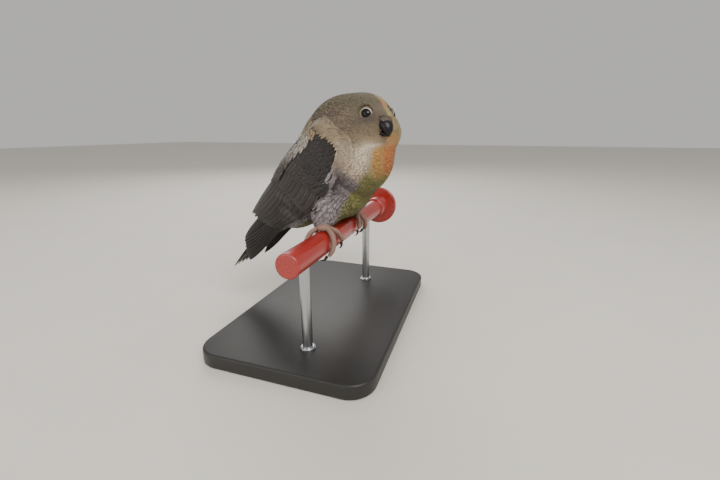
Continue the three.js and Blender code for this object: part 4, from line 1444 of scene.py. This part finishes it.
def eye_frame(side):
    """The middle of an eyeball and the way that it looks."""
    lead = math.radians(EYE_LEAD[side])
    reach = EYE_REACH[side]
    centre = on_head(-EYE_BACK, side * reach, 0.0)
    ahead = on_head(math.sin(lead) - EYE_BACK, side * (reach + math.cos(lead)), 0.0)
    return centre, ahead - centre


def eye_basis(side):
    """The middle of an eyeball, the way that it looks, and the ways up and across it."""
    centre, out = eye_frame(side)
    up = unit(np.array([0, 0, 1.0]) - out * out[2])
    return centre, out, up, np.cross(up, out)


def wet_eye():
    """A living eye: a dark brown iris round a black pupil under a clear wet cornea, which gives one
    sharp highlight."""
    made, tree, shader = material(
        "wet_eye", Roughness=0.3, Specular_IOR_Level=0.15, Coat_Weight=0.55, Coat_Roughness=0.02,
        Coat_IOR=1.38,
    )
    own = add_node(tree, "ShaderNodeVertexColor", layer_name="iris").outputs["Color"]
    place = add_node(tree, "ShaderNodeTexCoord").outputs["Object"]
    tree.links.new(mottled(tree, own, place, 0.25, 0.3), shader.inputs["Base Color"])
    return made


def bare_skin(name, tone, grain):
    """Bare skin: matt, finely wrinkled and a little see-through, so that its edges look soft."""
    made, tree, shader = material(
        name, Roughness=0.6, Subsurface_Weight=0.15, Subsurface_Scale=0.4 * MM
    )
    place = add_node(tree, "ShaderNodeTexCoord").outputs["Object"]
    tree.links.new(mottled(tree, tone, place, 1.2, 0.12), shader.inputs["Base Color"])
    cells = add_node(tree, "ShaderNodeTexVoronoi", {"Vector": place, "Scale": 1 / (grain * MM)})
    bumped(tree, shader, cells.outputs["Distance"], 0.08 * grain)
    return made


def lid_skin():
    """Bare lids: dull wrinkled skin, dark at the margin and nearly white in a narrow ring."""
    made, tree, shader = material(
        "bare_lid_skin", Roughness=0.55, Subsurface_Weight=0.1, Subsurface_Scale=0.3 * MM
    )
    place = add_node(tree, "ShaderNodeTexCoord").outputs["Object"]
    own = add_node(tree, "ShaderNodeVertexColor", layer_name="bare").outputs["Color"]
    tree.links.new(mottled(tree, own, place, 0.4, 0.15), shader.inputs["Base Color"])
    cells = add_node(tree, "ShaderNodeTexVoronoi", {"Vector": place, "Scale": 1 / (0.3 * MM)})
    bumped(tree, shader, cells.outputs["Distance"], 0.03)
    return made


class LOVEBIRD_OT_eyes(bpy.types.Operator):
    """Both eyes, each in a ring of bare lids with the upper lid a little lowered"""

    bl_idname = "lovebird.eyes"
    bl_label = "Eyes"

    def execute(self, context):
        tone = colours()
        wet, bare = wet_eye(), lid_skin()
        for name, side in (("right", -1), ("left", 1)):
            centre, out, up, across = eye_basis(side)
            bpy.ops.object.select_all(action="DESELECT")
            bpy.ops.mesh.primitive_uv_sphere_add(segments=48, ring_count=32, radius=EYE_RADIUS * MM)
            ball = new_piece(f"eyeball_{name}")
            local = positions(ball)
            reach = np.hypot(local[:, 0], local[:, 1])
            local[:, 2] += CORNEA[1] * np.exp(-((reach / CORNEA[0]) ** 4)) * (local[:, 2] > 0)
            set_positions(ball, local @ np.stack([across, up, out]) + centre)
            pupil = step(*PUPIL, reach)[:, None]
            paint(ball, "iris", tone["eye"] * (1 - pupil) + PUPIL_TONE * pupil)
            bpy.ops.object.shade_smooth()
            finish(ball, wet, "eye", f"eye_{name}")
            finish(self.lids(name, side), bare, "head_feathers")
        return {"FINISHED"}

    def lids(self, name, side):
        """A ring that starts on the eyeball and runs out and down under the feathers."""
        centre, out, up, across = eye_basis(side)
        inner, width = sizes()["eye_opening"], sizes()["lid_width"]
        dark, pale, skin_tone = (colours()[part] for part in ("lid_margin", "lid", "lores"))
        rings, shades = [], []
        for turn in np.linspace(0, 2 * np.pi, 64, endpoint=False):
            way = across * math.cos(turn) + up * math.sin(turn)
            upper = max(0.0, math.sin(turn))
            edge = inner - UPPER_LID * upper
            on_ball = math.sqrt(EYE_RADIUS**2 - edge**2)
            crease = 0.05 * math.sin(13 * turn)
            brow = BROW * upper
            profile = [
                (edge, on_ball - 0.12, dark),
                (edge + 0.04, on_ball + 0.14, dark),
                (edge + 0.12 + brow, on_ball + 0.16 + 0.1 * upper, dark),
                (edge + 0.22 + brow, on_ball + 0.12 + 0.1 * upper, pale),
                (edge + 0.62 * width + brow, on_ball - 0.05 + crease, pale),
                (edge + 0.82 * width + brow, on_ball - 0.25 + crease, skin_tone),
                (edge + 1.25 * width + brow, on_ball - 0.6, skin_tone),
                (edge + 1.5 * width, on_ball - 1.3, skin_tone),
                (edge + 0.9 * width, on_ball - 1.7, skin_tone),
                (edge + 0.2, on_ball - 0.7, dark),
            ]
            rings.append([centre + way * r + out * h for r, h, _ in profile])
            shades.append([shade for _, _, shade in profile])
        rings = np.array(rings)
        count, each = rings.shape[:2]
        i, j = np.meshgrid(np.arange(count), np.arange(each), indexing="ij")
        following, beside = (i + 1) % count, (j + 1) % each
        faces = np.stack(
            [i * each + j, following * each + j, following * each + beside, i * each + beside], -1
        ).reshape(-1, 4)
        ring = mesh_from(f"lid_ring_{name}", rings.reshape(-1, 3), [faces])
        paint(ring, "bare", np.array(shades).reshape(-1, 3))
        face_outward(ring)
        soft = ring.modifiers.new("soft", "SUBSURF")
        soft.levels = soft.render_levels = 1
        apply_modifiers(ring)
        return ring


# Bill

# Rings along the bill: its top and bottom in the head's plane, forward and up, and its half width
UPPER_BILL = [
    (2.6, -1.6, 1.4, -6.8, 3.8),
    (6.2, -2.1, 4.4, -7.2, 4.0),
    (8.3, -3.1, 5.9, -7.6, 3.6),
    (9.6, -4.8, 6.7, -8.2, 3.0),
    (10.2, -6.8, 7.6, -8.9, 2.3),
    (10.0, -8.5, 8.3, -9.5, 1.5),
    (9.6, -9.7, 8.8, -10.1, 0.8),
    (9.3, -10.5, 9.0, -10.6, 0.25),
]
LOWER_BILL = [
    (1.6, -6.9, 1.6, -10.4, 3.8),
    (4.3, -7.1, 4.1, -10.6, 3.5),
    (6.3, -7.5, 5.9, -10.5, 3.0),
    (7.6, -8.3, 7.2, -10.2, 1.9),
]
CERE = [
    (4.6, -0.5, 4.0, -3.6, 2.7),
    (6.3, -1.0, 5.4, -3.6, 3.0),
    (7.4, -1.9, 6.6, -3.6, 3.0),
    (8.2, -2.9, 7.4, -3.7, 2.7),
]


BILL_SIDES = 32
NOSTRIL = (7.2, 1.6, -1.7)  # its middle: forward, to its side and up
NOSTRIL_END = (4.8, 1.3, -2.8)  # where it leads
NOSTRIL_SIZE = (0.65, 0.9)  # radius and depth
NOSTRIL_RIM = (1.0, 0.4, 0.18)  # radius, width and height


def bill_rings(rows, count, keel=0.0):
    """Rings across the head's plane through smooth rows, a little squared, with a keel on top."""
    turn = 2 * np.pi * (np.arange(BILL_SIDES) + 0.5) / BILL_SIDES
    across = np.sin(turn)
    t = (1 - np.cos(turn)) / 2
    squared = np.sign(across) * np.abs(across) ** 0.8
    ridge = keel * np.exp(-((across / 0.25) ** 2)) * (t < 0.5)
    rings = []
    for top_f, top_u, low_f, low_u, half in smooth_line(rows, count):
        rings.append(
            on_head(
                top_f + (low_f - top_f) * t + 0.7 * ridge,
                max(half, 0.05) * squared,
                top_u + (low_u - top_u) * t + 0.7 * ridge,
            )
        )
    return rings


def horn(name, tone, grain, roughness):
    """Horn: a hard satin skin of keratin with faint growth lines."""
    made, tree, shader = material(
        name, Roughness=roughness, IOR=1.54, Specular_IOR_Level=0.25, Coat_Weight=0.12,
        Coat_Roughness=0.25,
    )
    place = add_node(tree, "ShaderNodeTexCoord").outputs["Object"]
    tree.links.new(mottled(tree, tone, place, 1.5, 0.3), shader.inputs["Base Color"])
    lines = add_node(
        tree,
        "ShaderNodeTexWave",
        {"Vector": place, "Scale": 0.3 / (grain * MM), "Distortion": 3.0, "Detail": 2.0},
        bands_direction="Z",
    )
    bumped(tree, shader, lines.outputs["Fac"], 0.05, 0.5)
    return made


class LOVEBIRD_OT_bill(bpy.types.Operator):
    """The hooked bill, its lower half and the cere with the nostrils"""

    bl_idname = "lovebird.bill"
    bl_label = "Bill"

    def execute(self, context):
        tone = colours()
        dark = horn("bill_horn", tone["bill"], 0.6, 0.36)
        upper = drawn_out("bill_top", bill_rings(UPPER_BILL, 30, keel=0.25))
        lower = drawn_out("bill_bottom", bill_rings(LOWER_BILL, 14))
        cere = drawn_out("cere_skin", bill_rings(CERE, 12))
        points = positions(cere)
        for side in (-1, 1):
            nostril, end = (on_head(f, side * l, u) for f, l, u in (NOSTRIL, NOSTRIL_END))
            reach = np.linalg.norm(points - nostril, axis=1)[:, None]
            inward = unit(end - nostril)
            points += spot((reach, 0, NOSTRIL_SIZE[0])) * inward * NOSTRIL_SIZE[1]
            points -= spot((reach, *NOSTRIL_RIM[:2])) * inward * NOSTRIL_RIM[2]
        set_positions(cere, points)
        finish(upper, dark, "bill", "bill_upper")
        finish(lower, dark, "bill", "bill_lower")
        finish(cere, bare_skin("cere_skin", tone["cere"], 0.4), "cere", "cere")
        return {"FINISHED"}


# Feet

# Each toe: its name, where it ends around the perch and along it, and its thickness
TOES = [
    ("outer", -40, 0.75, 1.6),
    ("inner", -8, -0.75, 1.5),
    ("hind_outer", 208, 0.8, 1.4),
    ("hind_inner", 166, -0.7, 1.3),
]


def on_perch(x, degrees, reach):
    """Places round the perch, in degrees from its front over its top."""
    turn = np.radians(degrees)
    up = PERCH_HEIGHT + reach * np.sin(turn)
    return np.stack(np.broadcast_arrays(x, -reach * np.cos(turn), up), -1)


PALM = (3.4, 3.8, 2.2)  # half the width, depth and height of the ball of the foot


def scaly_skin():
    """A bird's foot: dull horny scutes across the toes, paler on their rims, with fine grain
    between them."""
    made, tree, shader = material(
        "scaly_foot_skin", Roughness=0.62, Subsurface_Weight=0.08, Subsurface_Scale=0.5 * MM
    )
    place = add_node(tree, "ShaderNodeTexCoord").outputs["Object"]
    own = add_node(tree, "ShaderNodeVertexColor", layer_name="scutes").outputs["Color"]
    tree.links.new(mottled(tree, own, place, 0.8, 0.16), shader.inputs["Base Color"])
    cells = add_node(
        tree,
        "ShaderNodeTexVoronoi",
        {"Vector": place, "Scale": 1 / (0.55 * MM)},
        feature="DISTANCE_TO_EDGE",
    )
    bumped(tree, shader, cells.outputs["Distance"], 0.14)
    return made


class LOVEBIRD_OT_feet(bpy.types.Operator):
    """Both feet gripping the perch: two toes before it and two behind, with scutes and claws"""

    bl_idname = "lovebird.feet"
    bl_label = "Feet"

    def execute(self, context):
        tone = colours()
        scales, dark = scaly_skin(), horn("claw_horn", tone["claw"], 0.5, 0.42)
        for name, side, x in (("right", -1, FEET[0]), ("left", 1, FEET[1])):
            parts = [self.palm(x), self.shank(x)]
            for toe, end, spread_by, thick in TOES:
                parts.append(self.toe(x, side * spread_by * TOE_SPREAD, end, thick))
                claw = self.claw(f"talon_{name}_{toe}", x, side * spread_by * TOE_SPREAD, end)
                finish(claw, dark, "claw", f"claw_{name}_{toe}")
            foot = joined(f"scaly_foot_{name}", parts)
            points = positions(foot)
            rings = 0.5 + 0.5 * np.sin(points @ np.array([0.4, 2.6, 3.4]))
            paint(foot, "scutes", tone["toe"] * (0.82 + 0.3 * rings[:, None]))
            set_positions(foot, off_perch(points, 0.05))
            finish(foot, scales, "foot_skin", f"foot_{name}")
        return {"FINISHED"}

    def palm(self, x):
        """The ball of the foot, on top of the perch."""
        bpy.ops.object.select_all(action="DESELECT")
        bpy.ops.mesh.primitive_uv_sphere_add(segments=32, ring_count=20, radius=MM)
        palm = new_piece("palm")
        middle = np.array([x, 0, PERCH_HEIGHT + PERCH_RADIUS + GAP + 1.6])
        set_positions(palm, positions(palm) * np.array(PALM) + middle)
        bpy.ops.object.shade_smooth()
        return palm

    def shank(self, x):
        """The short shank, which ends in the feathers of the thigh."""
        line = [
            (x, 0, PERCH_HEIGHT + PERCH_RADIUS + 1.5),
            (x * 0.97, 0.3, PERCH_HEIGHT + 11),
            (x * 0.88, 0.8, PERCH_HEIGHT + 15),
        ]
        places = smooth_line(line, 14)
        return drawn_out("shank", list(tube(places, np.linspace(1.9, 2.3, 14), 16)))

    def toe(self, x, shift, end, thick):
        """A toe bends round the perch, thicker at its joints, with a raised edge on each scute."""
        start = 104 if end > 90 else 76
        count, sides = 40, 16
        t = np.linspace(0, 1, count)
        reach = PERCH_RADIUS + GAP + 0.2 + thick * (1 - 0.25 * t)
        places = on_perch(x + shift * t**0.8, start + (end - start) * t, reach)
        joints = 1 + 0.09 * np.cos(2 * np.pi * (2.5 * t + 0.1))
        radius = thick * (1 - 0.28 * t) * joints
        radius[-1] *= 0.35
        radius[-2] *= 0.75
        arc = np.cumsum(np.append(0, np.linalg.norm(np.diff(places, axis=0), axis=1)))
        ridge = (arc / sizes()["scute"]) % 1.0
        turn = 2 * np.pi * np.arange(sides) / sides
        outer = np.clip(np.sin(turn) * (1 if end < 90 else -1), 0, 1)[None]
        radii = radius[:, None] * (1 + 0.12 * (ridge[:, None] - 0.5) * outer)
        return drawn_out("toe", list(tube(places, radii, sides)))

    def claw(self, name, x, shift, end):
        """A claw goes on round the perch from its toe, rises off it and tapers to its tip."""
        onward = math.copysign(1, end - 90)
        t = np.linspace(-0.12, 1, 16)
        rise = PERCH_RADIUS + GAP + 0.95 + 0.9 * np.sin(np.pi * np.clip(t, 0, 1) * 0.8) - 0.4 * t
        places = on_perch(x + shift * (1 + 0.06 * t), end + onward * (9 + 30 * t), rise)
        radius = 0.85 + (0.08 - 0.85) * np.clip(t, 0, 1) ** 1.15
        return drawn_out(name, list(tube(places, radius, 14)))


# Perch and stand


def lathe_rings(profile, sides, middle, axis="x"):
    """Rings of a turned piece from (radius, place along the axis) pairs."""
    turn = 2 * np.pi * np.arange(sides) / sides
    rings = []
    for radius, place in profile:
        a, b = middle[0] + radius * np.cos(turn), middle[1] + radius * np.sin(turn)
        c = np.full(sides, float(place))
        rings.append(np.stack([c, a, b] if axis == "x" else [a, b, c], 1))
    return rings


def rounded(corner, next_corner):
    """Points of a small rounded step between two corners of a profile."""
    (r0, x0), (r1, x1) = corner, next_corner
    turn = np.linspace(0, math.pi / 2, 5)
    return [(r0 + (r1 - r0) * math.sin(a), x0 + (x1 - x0) * (1 - math.cos(a))) for a in turn]


def shade_by_angle(piece, degrees):
    """Shades a piece smooth but for its edges."""
    only(piece)
    bpy.ops.object.shade_smooth_by_angle(angle=math.radians(degrees))


def red_plastic(tone):
    """Injection moulded polystyrene: a bright even red under a glossy skin, with fine scratches
    along the rod where feet have worn it."""
    made, tree, shader = material(
        "red_polystyrene", IOR=1.59, Coat_Weight=0.4, Coat_Roughness=0.18
    )
    place = add_node(tree, "ShaderNodeTexCoord").outputs["Object"]
    tree.links.new(mottled(tree, tone, place, 14, 0.07), shader.inputs["Base Color"])
    drawn = add_node(tree, "ShaderNodeMapping", {"Vector": place, "Scale": (0.06, 1, 1)})
    worn = add_node(
        tree,
        "ShaderNodeTexNoise",
        {"Vector": drawn.outputs["Vector"], "Scale": 1 / (1.1 * MM), "Detail": 4.0},
    )
    rough = add_node(
        tree,
        "ShaderNodeMapRange",
        {"Value": worn.outputs["Fac"], "From Min": 0.35, "From Max": 0.7,
         "To Min": 0.24, "To Max": 0.42},
    )
    tree.links.new(rough.outputs["Result"], shader.inputs["Roughness"])
    bumped(tree, shader, worn.outputs["Fac"], 0.03, 0.6)
    return made


class LOVEBIRD_OT_perch(bpy.types.Operator):
    """The cut length of perch with its collar and round end stop"""

    bl_idname = "lovebird.perch"
    bl_label = "Perch"

    def execute(self, context):
        near, far = PERCH_ENDS
        stop_face = far - STOP[1]
        collar = stop_face - COLLAR[1]
        radius = PERCH_RADIUS
        profile = [
            (0.05, near),
            (radius - 2.2, near),
            *rounded((radius - 0.8, near), (radius, near + 0.8)),
            (radius, -20.0),
            (radius, 20.0),
            (radius, collar - 0.5),
            *rounded((radius + 0.2, collar), (COLLAR[0], collar + 0.7)),
            (COLLAR[0], stop_face - 0.7),
            (COLLAR[0] + 0.5, stop_face - 0.1),
            (STOP[0] - 1.1, stop_face),
            *rounded((STOP[0] - 0.9, stop_face), (STOP[0], stop_face + 0.9)),
            (STOP[0], far - 0.9),
            (STOP[0] - 0.25, far - 0.3),
            (STOP[0] - 0.9, far),
            (STOP[0] - 3.0, far),
            (0.05, far),
        ]
        perch = drawn_out("red_perch", lathe_rings(profile, 96, (0.0, PERCH_HEIGHT)))
        shade_by_angle(perch, 40)
        finish(perch, red_plastic(colours()["perch"]), "red_plastic", "perch")
        return {"FINISHED"}


def brushed_steel(tone):
    """Stainless steel rod, drawn and brushed: fine lines along it stretch the highlight."""
    made, tree, shader = material("brushed_steel", Metallic=1.0, Roughness=0.3)
    place = add_node(tree, "ShaderNodeTexCoord").outputs["Object"]
    drawn = add_node(tree, "ShaderNodeMapping", {"Vector": place, "Scale": (1, 1, 0.04)})
    lines = add_node(
        tree, "ShaderNodeTexNoise", {"Vector": drawn.outputs["Vector"], "Scale": 1 / (0.25 * MM)}
    )
    shade = mottled(tree, tone, drawn.outputs["Vector"], 0.4, 0.08)
    tree.links.new(shade, shader.inputs["Base Color"])
    bumped(tree, shader, lines.outputs["Fac"], 0.01, 0.5)
    return made


def moulded_abs(tone):
    """Black ABS from a spark eroded mould: a fine grain that breaks the highlight into a satin."""
    made, tree, shader = material("black_abs", Roughness=0.46)
    place = add_node(tree, "ShaderNodeTexCoord").outputs["Object"]
    tree.links.new(mottled(tree, tone, place, 9, 0.12), shader.inputs["Base Color"])
    grain = add_node(tree, "ShaderNodeTexNoise", {"Vector": place, "Scale": 1 / (0.35 * MM)})
    bumped(tree, shader, grain.outputs["Fac"], 0.04, 0.6)
    return made


BASE_CORNER = 13.0  # radius of the base's upright corners
BASE_EDGE = 1.2  # radius of its other edges
FERRULE = (-0.6, 0.9, 0.7)  # its foot in the base, where its round edge starts, and that edge


class LOVEBIRD_OT_stand(bpy.types.Operator):
    """The plain stand: a flat base and two rods up to the perch"""

    bl_idname = "lovebird.stand"
    bl_label = "Stand"

    def execute(self, context):
        tone = colours()
        steel = brushed_steel(tone["rod"])
        self.base(moulded_abs(tone["base"]))
        base_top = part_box("stand_base")[1].z / MM
        for number in (1, 2):
            low, high = (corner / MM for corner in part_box(f"stand_rod_{number}"))
            x, radius = (low.x + high.x) / 2, (high.x - low.x) / 2
            profile = [(radius, z) for z in np.linspace(low.z, PERCH_HEIGHT - 9, 4)]
            rings = lathe_rings(profile, 48, (x, 0.0), "z")
            saddle = lathe_rings([(radius, 0.0)], 48, (x, 0.0), "z")[0]
            saddle[:, 2] = PERCH_HEIGHT - np.sqrt((PERCH_RADIUS + 0.1) ** 2 - saddle[:, 1] ** 2)
            rod = drawn_out(f"steel_rod_{number}", [*rings, saddle])
            shade_by_angle(rod, 35)
            finish(rod, steel, "steel_rod", f"stand_rod_{number}")
            wide, inner = sizes()["ferrule"], radius + 0.02
            foot, shoulder = base_top + FERRULE[0], base_top + FERRULE[1]
            top = shoulder + FERRULE[2]
            edge = rounded((wide, shoulder), (wide - FERRULE[2], top))
            profile = [(inner, foot), (wide, foot), *edge, (inner, top)]
            ferrule = drawn_out(f"stand_ferrule_{number}", lathe_rings(profile, 48, (x, 0.0), "z"))
            shade_by_angle(ferrule, 40)
            finish(ferrule, steel, "steel_rod")
        return {"FINISHED"}

    def base(self, surface):
        """A slab with round upright corners and softened edges."""
        low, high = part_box("stand_base")
        bpy.ops.object.select_all(action="DESELECT")
        bpy.ops.mesh.primitive_cube_add(size=1, location=(low + high) / 2, scale=high - low)
        base = new_piece("display_base")
        bpy.ops.object.transform_apply(location=True, rotation=True, scale=True)
        bpy.ops.object.mode_set(mode="EDIT")
        bpy.ops.mesh.select_mode(type="EDGE")
        self.select_edges(base, lambda a, b: abs(a.z - b.z) > 1e-4)
        bpy.ops.mesh.bevel(offset=BASE_CORNER * MM, segments=14, affect="EDGES")
        for level in (high.z, low.z):
            self.select_edges(base, lambda a, b: abs(a.z - level) < 1e-5 and abs(b.z - level) < 1e-5)
            bpy.ops.mesh.bevel(offset=BASE_EDGE * MM, segments=4, affect="EDGES")
        bpy.ops.object.mode_set(mode="OBJECT")
        shade_by_angle(base, 30)
        finish(base, surface, "black_base", "stand_base")

    def select_edges(self, piece, wanted):
        """Selects the edges whose two ends are wanted."""
        shape = bmesh.from_edit_mesh(piece.data)
        for edge in shape.edges:
            edge.select = wanted(edge.verts[0].co, edge.verts[1].co)
        shape.select_flush_mode()
        bmesh.update_edit_mesh(piece.data)


# Stage

# The photo's view: where the camera stands, and the ways right and up in its picture
CAMERA_PLACE = (-189.9, -76.7, 114.2)
CAMERA_RIGHT = (0.3206, -0.9472, 0.0)
CAMERA_UP = (0.2737, 0.0927, 0.9573)
CAMERA_FOCUS = 362.0  # focal length in pixels of an image 720 wide
IMAGE_WIDTH = 720.0
SENSOR = 36.0
# Soft lights over the bird: name, place in metres, side in metres and watts
LIGHTS = [
    ("key", (-0.45, -0.5, 0.75), 0.5, 7.5),
    ("fill", (-0.8, 0.45, 0.35), 0.7, 2.6),
    ("rim", (0.55, 0.35, 0.6), 0.5, 3.5),
]
LIGHT_TONE = (1.0, 0.97, 0.93)
LIT_PLACE = (-0.002, 0.012, 0.09)  # the middle of the bird in metres
ROOM_TONE = (0.86, 0.85, 0.83, 1.0)
ROOM_STRENGTH = 0.62


class LOVEBIRD_OT_stage(bpy.types.Operator):
    """A pale floor, soft studio light and the camera"""

    bl_idname = "lovebird.stage"
    bl_label = "Stage"

    def execute(self, context):
        scene = context.scene
        bpy.ops.object.select_all(action="DESELECT")
        bpy.ops.mesh.primitive_plane_add(size=6)
        floor = context.object
        floor.name = "floor"
        made, tree, shader = material("matt_paper", Roughness=0.9)
        place = add_node(tree, "ShaderNodeTexCoord").outputs["Object"]
        pale = mottled(tree, colours()["floor"], place, 60, 0.015)
        tree.links.new(pale, shader.inputs["Base Color"])
        floor.data.materials.append(made)
        world = bpy.data.worlds.new("studio")
        world.use_nodes = True
        back = world.node_tree.nodes["Background"]
        back.inputs["Color"].default_value = ROOM_TONE
        back.inputs["Strength"].default_value = ROOM_STRENGTH
        scene.world = world
        target = Vector(LIT_PLACE)
        for name, place, size, power in LIGHTS:
            light = bpy.data.lights.new(name, "AREA")
            light.size = size
            light.energy = power
            light.color = LIGHT_TONE
            lamp = bpy.data.objects.new(name, light)
            lamp.location = place
            lamp.rotation_euler = (target - Vector(place)).to_track_quat("-Z", "Y").to_euler()
            scene.collection.objects.link(lamp)
        data = bpy.data.cameras.new("camera")
        data.sensor_width = SENSOR
        data.lens = CAMERA_FOCUS / IMAGE_WIDTH * SENSOR
        data.clip_start = 0.01
        camera = bpy.data.objects.new("camera", data)
        right, up = Vector(CAMERA_RIGHT).normalized(), Vector(CAMERA_UP).normalized()
        out = right.cross(up)
        turned = Matrix((right, up, out)).transposed().to_4x4()
        camera.matrix_world = Matrix.Translation(Vector(CAMERA_PLACE) * MM) @ turned
        scene.collection.objects.link(camera)
        scene.camera = camera
        return {"FINISHED"}


class LOVEBIRD_PT_panel(bpy.types.Panel):
    """Sizes, colours and steps of the lovebird"""

    bl_idname = "LOVEBIRD_PT_panel"
    bl_label = "Lovebird"
    bl_space_type = "VIEW_3D"
    bl_region_type = "UI"
    bl_category = "Lovebird"

    def draw(self, context):
        for step_class in STEPS:
            self.layout.operator(step_class.bl_idname)
        for group in (context.scene.lovebird_sizes, context.scene.lovebird_colours):
            box = self.layout.box()
            for name in group.__annotations__:
                box.prop(group, name)


STEPS = [
    LOVEBIRD_OT_skin,
    LOVEBIRD_OT_wings,
    LOVEBIRD_OT_tail,
    LOVEBIRD_OT_eyes,
    LOVEBIRD_OT_bill,
    LOVEBIRD_OT_feet,
    LOVEBIRD_OT_perch,
    LOVEBIRD_OT_stand,
    LOVEBIRD_OT_coat,
    LOVEBIRD_OT_stage,
]
CLASSES = [LovebirdSizes, LovebirdColours, *STEPS, LOVEBIRD_PT_panel]


def register():
    """Makes the groups, the steps and the panel known."""
    for each in CLASSES:
        bpy.utils.register_class(each)
    bpy.types.Scene.lovebird_sizes = PointerProperty(type=LovebirdSizes)
    bpy.types.Scene.lovebird_colours = PointerProperty(type=LovebirdColours)


def unregister():
    """Takes them away again."""
    del bpy.types.Scene.lovebird_colours
    del bpy.types.Scene.lovebird_sizes
    for each in reversed(CLASSES):
        bpy.utils.unregister_class(each)


def main():
    """Builds the lovebird, its perch and its stand."""
    register()
    bpy.ops.lovebird.skin()
    bpy.ops.lovebird.wings()
    bpy.ops.lovebird.tail()
    bpy.ops.lovebird.eyes()
    bpy.ops.lovebird.bill()
    bpy.ops.lovebird.feet()
    bpy.ops.lovebird.perch()
    bpy.ops.lovebird.stand()
    bpy.ops.lovebird.coat()
    bpy.ops.lovebird.stage()


if __name__ == "__main__":
    main()
